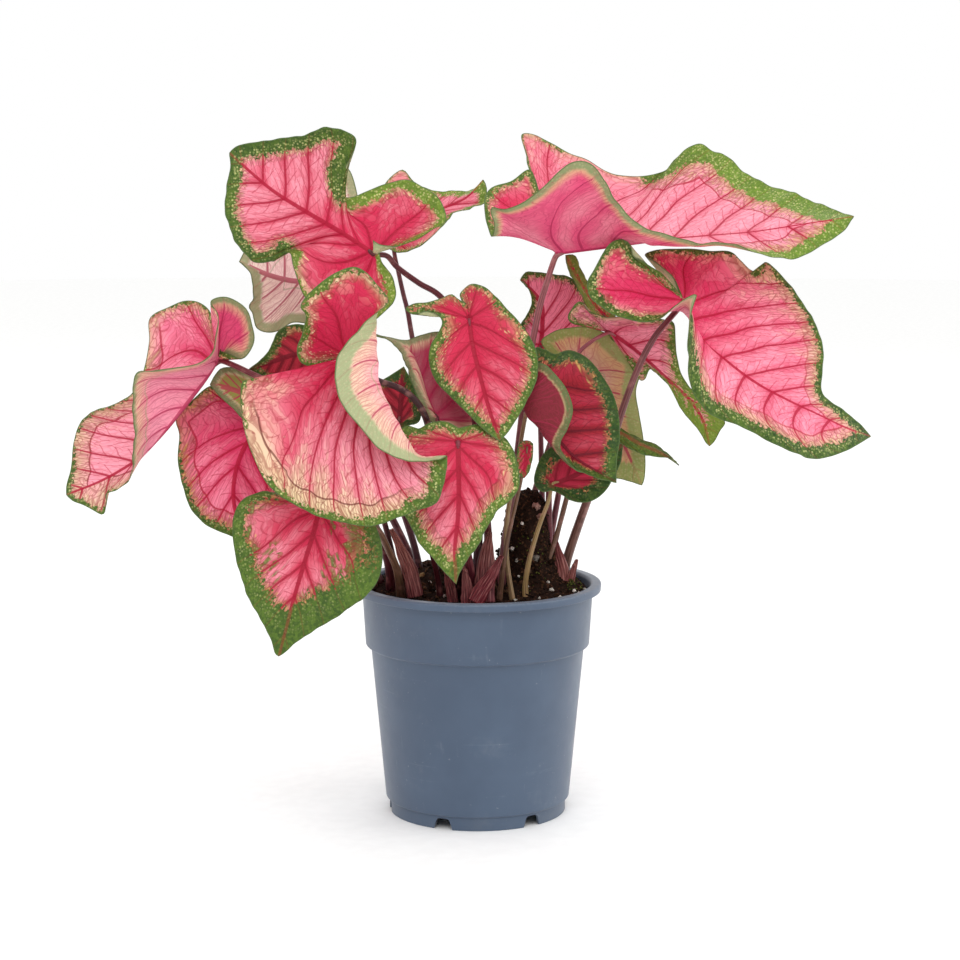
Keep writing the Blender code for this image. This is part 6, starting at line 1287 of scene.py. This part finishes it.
surface.inputs["Roughness"].default_value = 0.5
surface.inputs["IOR"].default_value = 1.42
surface.inputs["Specular IOR Level"].default_value = 0.3
bump = addNode(tree, "ShaderNodeBump", None, {"Height": fibres.outputs[0], "Distance": 0.35 * mm, "Strength": 0.8})
tree.links.new(bump.outputs[0], surface.inputs["Normal"])

sheathMake = {"rows": 44, "columns": 22, "thickness": 0.7, "ridges": 5, "ridgeHeight": 0.30, "bow": 0.30}
sheathColours = {"sheath_left": ("#b4786c", "#8a4448"), "sheath_centre": ("#8a5048", "#7c3440"),
                 "sheath_front": ("#7c3038", "#8c2c3a"), "sheath_right": ("#7c2c34", "#a4645c"),
                 "scale_left": ("#8c4440", "#7c3038"), "scale_middle": ("#a0605c", "#8c3a44"),
                 "scale_right": ("#a86860", "#8c4448")}
scales = {                  # smaller scales between them, seen at the plant's foot
    "scale_left": ([(-15.5, 121, -22), (-14, 114, -23), (-12.5, 107, -24), (-12, 102, -25)], 5.5, 1.2),
    "scale_middle": ([(-6.5, 119, -29), (-5.5, 113, -30), (-5, 107, -31), (-5, 101.5, -32)], 6.0, 1.2),
    "scale_right": ([(47.5, 122, 10), (46, 117, 9), (44.5, 111, 8), (43.5, 106.5, 7)], 5.0, 1.2),
}


def buildSheath(name, points, width, seed):
    rows, columns = sheathMake["rows"], sheathMake["columns"]
    shares = np.linspace(0.0, 1.0, rows + 1)
    line = sampled(placed(points), shares)
    length = np.linalg.norm(np.diff(line, axis=0), axis=1).sum() / mm
    tangents = np.gradient(line, axis=0)
    tangents /= np.linalg.norm(tangents, axis=1, keepdims=True)
    facing = np.array([0.0, -1.0, 0.12])
    grid, grain = [], []
    for i, share in enumerate(shares):
        side = np.cross(tangents[i], facing)
        side /= np.linalg.norm(side)
        front = np.cross(side, tangents[i])
        half = width / 2.0 * (0.10 + 0.90 * math.sin(min(1.0, share * 1.15 + 0.02) * math.pi / 2) ** 0.8)
        curl = sheathMake["bow"] * (1.0 + 0.8 * share)
        for j in range(columns + 1):
            a = 2.0 * j / columns - 1.0
            ridge = math.cos(a * math.pi * sheathMake["ridges"]) * sheathMake["ridgeHeight"]
            ragged = 0.5 * math.sin(seed + 9.0 * share + 4.0 * a) + 0.35 * math.sin(2.3 * seed + 23.0 * share)
            torn = 1.6 * (1.0 - share) ** 6 * math.sin(7.0 * a + seed)
            spot = line[i] + side * (a * half * (1.0 + 0.08 * ragged)) * mm
            spot = spot + front * (half * curl * 1.3 * (1.0 - a * a) + ridge + 0.25 * ragged) * mm
            grid.append(spot + tangents[i] * torn * mm)
            grain.append((a * width / 2.0, share * length, ridge))
    wide = columns + 1
    faces = [(i * wide + j, i * wide + j + 1, (i + 1) * wide + j + 1, (i + 1) * wide + j)
             for i in range(rows) for j in range(columns)]
    mesh = meshFrom(name, grid, faces)
    top, low = (np.array(linear(c)[:3]) for c in sheathColours[name])
    share = np.array([g[1] for g in grain])[:, None] / length
    writeField(mesh, "skin", top * (1 - share) + low * share)
    writeField(mesh, "grain", grain)
    obj = linkedObject("leaf_" + name if name in sheaths else name, mesh)
    solid = obj.modifiers.new("thickness", "SOLIDIFY")
    solid.thickness = sheathMake["thickness"] * mm
    solid.offset = -1.0
    mesh.materials.append(sheathPaper)
    return obj


for seed, (name, (points, width, thick)) in enumerate(list(sheaths.items()) + list(scales.items())):
    obj = buildSheath(name, points, width, 1.7 * seed)
    if name in sheaths:
        settle(obj, name)
    else:
        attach(obj, "root")
print("sheaths built,", len(sheaths) + len(scales))


# Nursery pot: injection-moulded polypropylene, slate blue, satin from the mould, with scuffs and soil dust
potMake = {
    "turns": 256, "height": 112.7, "rimRadius": 60.0, "rimLip": 3.8, "bandTop": 55.8, "bandLow": 54.2,
    "bandLowZ": 82.5, "bodyTop": 51.7, "bodyLow": 44.7, "footRadius": 42.9, "footHeight": 6.5, "wall": 1.4,
    "floorZ": 8.6, "notchAngles": tuple(-22.6 + 60.0 * k for k in range(6)), "notchLow": 9.5, "notchTop": 6.0,
    "notchHeight": 5.4, "drainRadius": 4.0, "drainRing": 27.0,
    "colour": "#42536a", "colourLight": "#4f6075", "colourDark": "#39485c", "dust": "#868c93", "scratch": "#7c8995",
}
potPlastic, tree, surface = newMaterial("mouldedPolypropylene")
calc, ramp, blend = sums(tree)
place = addNode(tree, "ShaderNodeTexCoord").outputs["Object"]
along = addNode(tree, "ShaderNodeSeparateXYZ", None, {0: place})
flow = addNode(tree, "ShaderNodeTexNoise", None, {"Vector": place, "Scale": 1000.0 / 60.0, "Detail": 4.0,
                                                 "Roughness": 0.6})
colour = blend(ramp(flow.outputs[0], 0.3, 0.7), linear(potMake["colourDark"]), linear(potMake["colourLight"]))
colour = blend(0.55, colour, linear(potMake["colour"]))
# fine dust of dried peat lies in specks and thin films
dustPlace = addNode(tree, "ShaderNodeTexNoise", None, {"Vector": place, "Scale": 1000.0 / 1.6, "Detail": 2.0})
film = addNode(tree, "ShaderNodeTexNoise", None, {"Vector": place, "Scale": 1000.0 / 26.0, "Detail": 5.0,
                                                 "Roughness": 0.7})
speck = ramp(dustPlace.outputs[0], 0.70, 0.76)
speck = calc("MULTIPLY", speck, ramp(film.outputs[0], 0.42, 0.62))
colour = blend(calc("MULTIPLY", speck, 0.55), colour, linear(potMake["dust"]))
colour = blend(calc("MULTIPLY", ramp(film.outputs[0], 0.55, 0.8), 0.20), colour, linear(potMake["dust"]))
# hairline scratches from stacking run up and round: thin crests of two stretched noises
scratchMark = 0.0
for stretch, offset in (((520.0, 520.0, 14.0), 0.0), ((16.0, 16.0, 640.0), 3.0)):
    mapped = addNode(tree, "ShaderNodeMapping", None, {"Vector": place, "Location": (offset, offset, offset),
                                                       "Scale": stretch})
    lines = addNode(tree, "ShaderNodeTexNoise", None, {"Vector": mapped.outputs[0], "Scale": 1.0, "Detail": 1.0})
    crest = ramp(lines.outputs[0], 0.70, 0.73)
    scratchMark = calc("MAXIMUM", crest, scratchMark)
scratchMark = calc("MULTIPLY", scratchMark, ramp(film.outputs[0], 0.5, 0.6))
colour = blend(calc("MULTIPLY", scratchMark, 0.12), colour, linear(potMake["scratch"]))
# the top of the lip is painted lighter: a painted highlight along its rounded edge, broken up like rubbed wear
height = calc("MULTIPLY", along.outputs[2], 1000.0)
lipHighlightAndWear = calc("MULTIPLY", ramp(height, 111.2, 112.6), ramp(dustPlace.outputs[0], 0.25, 0.6, 0.35, 1.0))
colour = blend(calc("MULTIPLY", lipHighlightAndWear, 0.15), colour, linear("#a8b2bb"))
# lighter towards the foot: water stains, and painted light bounced up from the floor
footStainAndBounce = calc("MULTIPLY", ramp(height, 0.2, 9.0, 1.0, 0.0), ramp(film.outputs[0], 0.35, 0.7))
colour = blend(calc("MULTIPLY", footStainAndBounce, 0.25), colour, linear("#6b6f74"))
tree.links.new(colour, surface.inputs["Base Color"])
tree.links.new(ramp(film.outputs[0], 0.3, 0.75, 0.36, 0.50), surface.inputs["Roughness"])
surface.inputs["IOR"].default_value = 1.49
surface.inputs["Sheen Weight"].default_value = 0.10       # scuffed skin and dust lighten it at a glancing angle
surface.inputs["Sheen Roughness"].default_value = 0.45
peel = addNode(tree, "ShaderNodeTexNoise", None, {"Vector": place, "Scale": 1000.0 / 0.9, "Detail": 2.0})
grit = calc("ADD", calc("MULTIPLY", peel.outputs[0], 0.5), calc("MULTIPLY", scratchMark, -0.8))
bump = addNode(tree, "ShaderNodeBump", None, {"Height": grit, "Distance": 0.06 * mm, "Strength": 0.5})
tree.links.new(bump.outputs[0], surface.inputs["Normal"])


# the corners of a section, each with its rounding radius, as a fine line
def roundedSection(corners, closed=False, steps=6):
    line = []
    for k, (x, z, fillet) in enumerate(corners):
        here = np.array([x, z])
        if fillet <= 0 or (not closed and k in (0, len(corners) - 1)):
            line.append(here)
            continue
        before = np.array(corners[k - 1][:2]) - here
        after = np.array(corners[(k + 1) % len(corners)][:2]) - here
        cut = min(fillet, 0.45 * np.linalg.norm(before), 0.45 * np.linalg.norm(after))
        a = here + before / np.linalg.norm(before) * cut
        b = here + after / np.linalg.norm(after) * cut
        for t in np.linspace(0.0, 1.0, steps + 1):
            line.append(a * (1 - t) ** 2 + 2 * here * t * (1 - t) + b * t * t)
    return line


def lathe(name, section, turns):
    bm = bmesh.new()
    rings = []
    for x, z in section:
        if x < 1e-6:
            rings.append([bm.verts.new((0.0, 0.0, z * mm))] * turns)
        else:
            rings.append([bm.verts.new((x * mm * math.cos(2 * math.pi * k / turns),
                                        x * mm * math.sin(2 * math.pi * k / turns), z * mm)) for k in range(turns)])
    for low, high in zip(rings, rings[1:] + rings[:1]):
        for k in range(turns):
            n = (k + 1) % turns
            corners = []
            for v in (low[k], low[n], high[n], high[k]):
                if v not in corners:
                    corners.append(v)
            if len(corners) > 2:
                bm.faces.new(corners)
    bmesh.ops.recalc_face_normals(bm, faces=bm.faces)
    mesh = bpy.data.meshes.new(name)
    bm.to_mesh(mesh)
    bm.free()
    return mesh


# a block along a spoke of the pot, with the outline (across, up) in mm
def prism(outline, near, far, angle):
    direction = Vector((math.sin(angle), -math.cos(angle), 0.0))
    sideways = Vector((math.cos(angle), math.sin(angle), 0.0))
    bm = bmesh.new()
    rings = [[bm.verts.new((direction * reach + sideways * w + Vector((0, 0, z))) * mm) for w, z in outline]
             for reach in (near, far)]
    bm.faces.new(rings[0])
    bm.faces.new(list(reversed(rings[1])))
    for k in range(len(outline)):
        n = (k + 1) % len(outline)
        bm.faces.new((rings[0][n], rings[0][k], rings[1][k], rings[1][n]))
    bmesh.ops.recalc_face_normals(bm, faces=bm.faces)
    mesh = bpy.data.meshes.new("cutter")
    bm.to_mesh(mesh)
    bm.free()
    return linkedObject("cutter", mesh)


wall, top = potMake["wall"], potMake["height"]
lipLow = top - potMake["rimLip"]
potCorners = [
    (potMake["footRadius"] - wall, 0.0, 0.3), (potMake["footRadius"], 0.0, 0.5),
    (potMake["footRadius"], potMake["footHeight"], 0.5), (potMake["bodyLow"], potMake["footHeight"] + 0.6, 0.7),
    (potMake["bodyTop"], potMake["bandLowZ"] - 0.8, 0.9), (potMake["bandLow"], potMake["bandLowZ"], 0.8),
    (potMake["bandTop"], lipLow, 0.7), (potMake["rimRadius"] - 0.3, lipLow, 0.5),
    (potMake["rimRadius"], top, 1.3), (potMake["bandTop"] - 0.4, top, 0.7),
    (potMake["bandTop"] - wall, top - 1.4, 0.7), (potMake["bandLow"] - wall, potMake["bandLowZ"] + 0.6, 0.6),
    (potMake["bodyTop"] - wall, potMake["bandLowZ"] - 1.6, 0.6),
    (potMake["bodyLow"] - wall, potMake["floorZ"] + wall + 2.0, 1.2),
    (potMake["bodyLow"] - wall - 2.0, potMake["floorZ"] + wall, 1.0),
    (0.0, potMake["floorZ"] + wall, 0.0), (0.0, potMake["floorZ"], 0.0),
    (potMake["footRadius"] - wall, potMake["floorZ"], 0.6),
]
pot = linkedObject("nursery_pot", lathe("nursery_pot", roundedSection(potCorners, closed=True), potMake["turns"]))
low, high, tall = potMake["notchLow"] / 2, potMake["notchTop"] / 2, potMake["notchHeight"]
notchOutline = [(x, z) for x, z in roundedSection(
    [(-low - 0.3, -1.0, 0), (low + 0.3, -1.0, 0), (high + 0.2, tall, 1.8), (-high - 0.2, tall, 1.8)], closed=True)]
cutters = [prism(notchOutline, potMake["footRadius"] - 4, potMake["footRadius"] + 4, math.radians(a))
           for a in potMake["notchAngles"]]
for k in range(7):
    ring = potMake["drainRing"] if k < 6 else 0.0
    bpy.ops.mesh.primitive_cylinder_add(
        vertices=40, radius=potMake["drainRadius"] * mm, depth=6 * mm,
        location=(ring * mm * math.cos(math.pi * k / 3), ring * mm * math.sin(math.pi * k / 3),
                  potMake["floorZ"] * mm))
    cutters.append(bpy.context.object)
for cutter in cutters:
    boolean = pot.modifiers.new("cut", "BOOLEAN")
    boolean.operation = "DIFFERENCE"
    boolean.solver = "EXACT"
    boolean.object = cutter


# keeps what an object's modifiers make of it and drops them
def applied(obj):
    bpy.context.view_layer.update()
    made = bpy.data.meshes.new_from_object(obj.evaluated_get(bpy.context.evaluated_depsgraph_get()))
    obj.modifiers.clear()
    obj.data = made
    return made


mesh = applied(pot)
for cutter in cutters:
    bpy.data.objects.remove(cutter, do_unlink=True)
mesh.shade_smooth()
mesh.set_sharp_from_angle(angle=math.radians(32))
mesh.materials.clear()
mesh.materials.append(potPlastic)
settle(pot, "pot")
print("pot built")

# Potting mix: dark peat and coir in crumbs, with perlite and a little moss
soilMake = {
    "frontZ": 103.2, "rise": 0.105, "plugAt": (23.5, 13.0), "plugRadius": 11.5, "plugHeight": 44.0,
    "gap": 0.3, "voxel": 1.15, "crumbs": 1500, "crumbSizes": (0.35, 1.5), "seed": 11,
    "peat": "#2b1c15", "peatDark": "#130b08", "fibre": "#5a3b28", "perlite": "#e8e2d8", "moss": "#5f6a2c",
}


def soilLevel(x, y):
    radius = math.hypot(x, y)
    plain = soilMake["frontZ"] + soilMake["rise"] * (y + potMake["bandLow"])
    z = plain + 1.1 * math.sin(x / 7.3 + 0.6) * math.cos(y / 6.1)
    z += 0.7 * math.sin(x / 3.1) * math.sin(y / 3.7 + 1.1)
    z += 5.0 * math.exp(-((x + 20.0) ** 2 + (y - 22.0) ** 2) / 400.0)          # mound under the crown
    away = math.hypot(x - soilMake["plugAt"][0], y - soilMake["plugAt"][1]) / soilMake["plugRadius"]
    z += soilMake["plugHeight"] / (1.0 + away ** 6)                            # the plug the cutting came in
    inside = min(1.0, max(0.0, (52.0 - radius) / 6.0))
    return z * inside + plain * (1.0 - inside)


step = wall + soilMake["gap"]
lower = [(0.0, potMake["floorZ"] + wall + 0.3), (potMake["bodyLow"] - step - 2.2, potMake["floorZ"] + wall + 0.3),
         (potMake["bodyLow"] - step - 0.3, potMake["floorZ"] + wall + 2.4),
         (potMake["bodyTop"] - step - 0.2, potMake["bandLowZ"] - 1.8),
         (potMake["bandLow"] - step - 0.2, potMake["bandLowZ"] + 0.4)]
soilOuter = potMake["bandLow"] - step + 0.9
spokes, tops = 220, 64
bm = bmesh.new()
rings = []
for radius, z in lower:
    rings.append([bm.verts.new((radius * mm * math.cos(2 * math.pi * k / spokes),
                                radius * mm * math.sin(2 * math.pi * k / spokes), z * mm)) for k in range(spokes)])
for j in range(tops):
    radius = soilOuter * (1.0 - j / tops)
    rings.append([])
    for k in range(spokes):
        x, y = radius * math.cos(2 * math.pi * k / spokes), radius * math.sin(2 * math.pi * k / spokes)
        rings[-1].append(bm.verts.new((x * mm, y * mm, soilLevel(x, y) * mm)))
for near, far in zip(rings, rings[1:]):
    for k in range(spokes):
        n = (k + 1) % spokes
        bm.faces.new((near[k], near[n], far[n], far[k]))
middle = bm.verts.new((0.0, 0.0, soilLevel(0.0, 0.0) * mm))
for k in range(spokes):
    bm.faces.new((rings[-1][k], rings[-1][(k + 1) % spokes], middle))
bmesh.ops.remove_doubles(bm, verts=bm.verts, dist=0.001 * mm)
mesh = bpy.data.meshes.new("potting_mix")
bm.to_mesh(mesh)
bm.free()
soil = linkedObject("potting_mix", mesh)
remesh = soil.modifiers.new("remesh", "REMESH")
remesh.mode = "VOXEL"
remesh.voxel_size = soilMake["voxel"] * mm
mesh = applied(soil)
count = len(mesh.vertices)
spots = np.zeros(count * 3, np.float32)
mesh.vertices.foreach_get("co", spots)
spots = spots.reshape(-1, 3).astype(float)
normals = np.zeros(count * 3, np.float32)
mesh.vertex_normals.foreach_get("vector", normals)
normals = normals.reshape(-1, 3)
lift = np.zeros(count)
for k in range(count):
    x, y, z = spots[k] / mm
    if z < 95.0:
        continue
    coarse = noise.noise((x / 4.2, y / 4.2, z / 4.2))
    fine = noise.noise((x / 1.7, y / 1.7, z / 1.7 + 9.0))
    lift[k] = 1.1 * coarse + 0.75 * fine
    if math.hypot(x, y) > 49.5:
        lift[k] = min(lift[k], 0.0)
spots += normals * lift[:, None] * mm
mesh.vertices.foreach_set("co", spots.ravel())
mesh.update()
mesh.shade_smooth()
writeField(mesh, "tint", np.tile(linear(soilMake["peat"])[:3], (count, 1)))

pottingMix, tree, surface = newMaterial("peatPottingMix")            # damp organic crumbs: matte, near black
calc, ramp, blend = sums(tree)
tint = addNode(tree, "ShaderNodeAttribute", {"attribute_name": "tint"}).outputs["Vector"]
place = addNode(tree, "ShaderNodeTexCoord").outputs["Object"]
clods = addNode(tree, "ShaderNodeTexNoise", None, {"Vector": place, "Scale": 1000.0 / 2.2, "Detail": 6.0,
                                                  "Roughness": 0.75})
fine = addNode(tree, "ShaderNodeTexVoronoi", None, {"Vector": place, "Scale": 1000.0 / 0.9})
fineParts = addNode(tree, "ShaderNodeSeparateColor", None, {0: fine.outputs["Color"]})
colour = blend(ramp(clods.outputs[0], 0.35, 0.6, 0.75, 0.0), tint, linear(soilMake["peatDark"]))
colour = blend(ramp(fineParts.outputs[0], 0.86, 0.93, 0.0, 0.55), colour, linear(soilMake["fibre"]))
tree.links.new(colour, surface.inputs["Base Color"])
surface.inputs["Roughness"].default_value = 0.92
surface.inputs["IOR"].default_value = 1.35
surface.inputs["Specular IOR Level"].default_value = 0.15
bump = addNode(tree, "ShaderNodeBump", None, {"Height": clods.outputs[0], "Distance": 0.9 * mm, "Strength": 1.0})
tree.links.new(bump.outputs[0], surface.inputs["Normal"])
mesh.materials.clear()
mesh.materials.append(pottingMix)
settle(soil, "soil")

# loose bits lie on the mix: crumbs, coir fibres, perlite and moss, in one mesh
ground = soil.evaluated_get(bpy.context.evaluated_depsgraph_get())
randomBits = random.Random(soilMake["seed"])
bits = {"points": [], "faces": [], "tints": []}
ball = bmesh.new()
bmesh.ops.create_icosphere(ball, subdivisions=2, radius=1.0)
ballPoints = np.array([v.co[:] for v in ball.verts])
ballFaces = [tuple(v.index for v in f.verts) for f in ball.faces]
ball.free()
smallBall = bmesh.new()
bmesh.ops.create_icosphere(smallBall, subdivisions=1, radius=1.0)
smallPoints = np.array([v.co[:] for v in smallBall.verts])
smallFaces = [tuple(v.index for v in f.verts) for f in smallBall.faces]
smallBall.free()


# one lump at a point in mm; sizes are its three half widths
def addBit(spot, sizes, hexColour, rough=0.35, fineBall=False):
    shape, faces = (ballPoints, ballFaces) if fineBall else (smallPoints, smallFaces)
    shift = [randomBits.uniform(0, 50) for k in range(3)]
    bumps = np.array([noise.noise((p[0] * 1.6 + shift[0], p[1] * 1.6 + shift[1], p[2] * 1.6 + shift[2]))
                      for p in shape])
    points = shape * (1.0 + rough * 2.0 * bumps[:, None]) * np.array(sizes)
    turn = Vector((randomBits.gauss(0, 1), randomBits.gauss(0, 1), randomBits.gauss(0, 1))).to_track_quat("X", "Z")
    points = points @ np.array(turn.to_matrix()).T + np.array(spot)
    start = sum(len(p) for p in bits["points"])
    bits["points"].append(points * mm)
    bits["faces"] += [tuple(start + v for v in f) for f in faces]
    bits["tints"].append(np.tile(linear(hexColour)[:3], (len(points), 1)))


# where the mix shows at a (right, up) point of the front view
def groundBehind(right, up):
    eye = Vector(cameraMake["eye"])
    through = Vector((right * mm, 0.0, up * mm))
    hit, spot, normal, face = ground.ray_cast(eye, (through - eye).normalized())
    return (np.array(spot) / mm, np.array(normal)) if hit else (None, None)


areas = np.zeros(len(mesh.polygons), np.float32)
mesh.polygons.foreach_get("area", areas)
centres = np.zeros(len(mesh.polygons) * 3, np.float32)
mesh.polygons.foreach_get("center", centres)
centres = centres.reshape(-1, 3) / mm
faceNormals = np.zeros(len(mesh.polygons) * 3, np.float32)
mesh.polygons.foreach_get("normal", faceNormals)
faceNormals = faceNormals.reshape(-1, 3)
upward = np.where((centres[:, 2] > 100.0) & (faceNormals[:, 2] > -0.3)
                 & (np.hypot(centres[:, 0], centres[:, 1]) < 50.5))[0]
chances = np.cumsum(areas[upward])
crumbColours = ("#2a1a13", "#3a261b", "#1d120d", "#4c3424", "#33231a", "#241712", "#5e4430")
for k in range(soilMake["crumbs"]):
    pick = upward[int(np.searchsorted(chances, randomBits.random() * chances[-1]))]
    small, large = soilMake["crumbSizes"]
    size = small + (large - small) * randomBits.random() ** 3.0
    longer = 1.0 + (3.5 * randomBits.random() if randomBits.random() < 0.22 else 0.5 * randomBits.random())
    spot = centres[pick] + faceNormals[pick] * size * 0.35
    addBit(spot, (size * longer, size * 0.75, size * 0.6), randomBits.choice(crumbColours))
perlite = [(-31.5, 108.5, 1.2), (-23, 112, 1.0), (-16, 105, 0.9), (-13, 103, 1.1), (-9, 105.5, 0.8),
           (17, 128.5, 1.5), (19, 123, 1.0), (21.5, 141, 1.0), (18.5, 103, 0.9), (24, 110, 1.0), (34, 112, 0.9),
           (36, 108, 1.2), (47, 107.4, 1.1), (49.2, 106.6, 0.9), (45, 103, 1.0), (-37, 106, 0.7), (30, 104, 0.8),
           (26.5, 133, 0.8), (20, 115, 0.7), (52, 108.5, 0.8), (40, 104.5, 0.9), (-20, 107.5, 0.7)]
for right, up, size in perlite:
    spot, normal = groundBehind(right, up)
    if spot is not None:
        addBit(spot + normal * size * 0.3, (size, size * 0.85, size * 0.8), soilMake["perlite"], 0.3, True)
for right, up, size, hexColour in ((28, 149, 2.2, "#b98f84"), (29.8, 144.5, 2.0, "#b08478"), (28, 124, 2.0, "#8b857c"),
                                   (-27, 115, 1.6, "#a98a62"), (24.5, 117.5, 1.5, "#6c5a4a")):
    spot, normal = groundBehind(right, up)
    if spot is not None:
        addBit(spot + normal * size * 0.3, (size, size * 0.9, size * 0.8), hexColour, 0.35, True)
for k in range(150):                                # moss: tufts at the right rim, flecks on the plug
    if k < 95:
        right, up = randomBits.uniform(43.5, 55), randomBits.uniform(107.5, 113.5)
    else:
        right, up = randomBits.uniform(18, 33), randomBits.uniform(103, 142)
    spot, normal = groundBehind(right, up)
    if spot is not None and math.hypot(spot[0], spot[1]) < 51:
        size = randomBits.uniform(0.35, 0.75)
        addBit(spot + normal * size, (size, size * 0.6, size * 0.6), randomBits.choice(("#55602a", "#6d7434", "#434b22")))
bitsMesh = meshFrom("loose_bits", np.concatenate(bits["points"]), bits["faces"])
writeField(bitsMesh, "tint", np.concatenate(bits["tints"]))
bitsMesh.materials.append(pottingMix)
looseBits = linkedObject("loose_bits", bitsMesh)
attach(looseBits, "root")
print("soil built,", len(bits["points"]), "loose bits")

low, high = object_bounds()
({"cad": [list(map(float, cadLow)), list(map(float, cadHigh))],
           "visual": [list(map(float, low)), list(map(float, high))]})
print("visual box", [round((b - a) / mm, 1) for a, b in zip(low, high)], "mm")
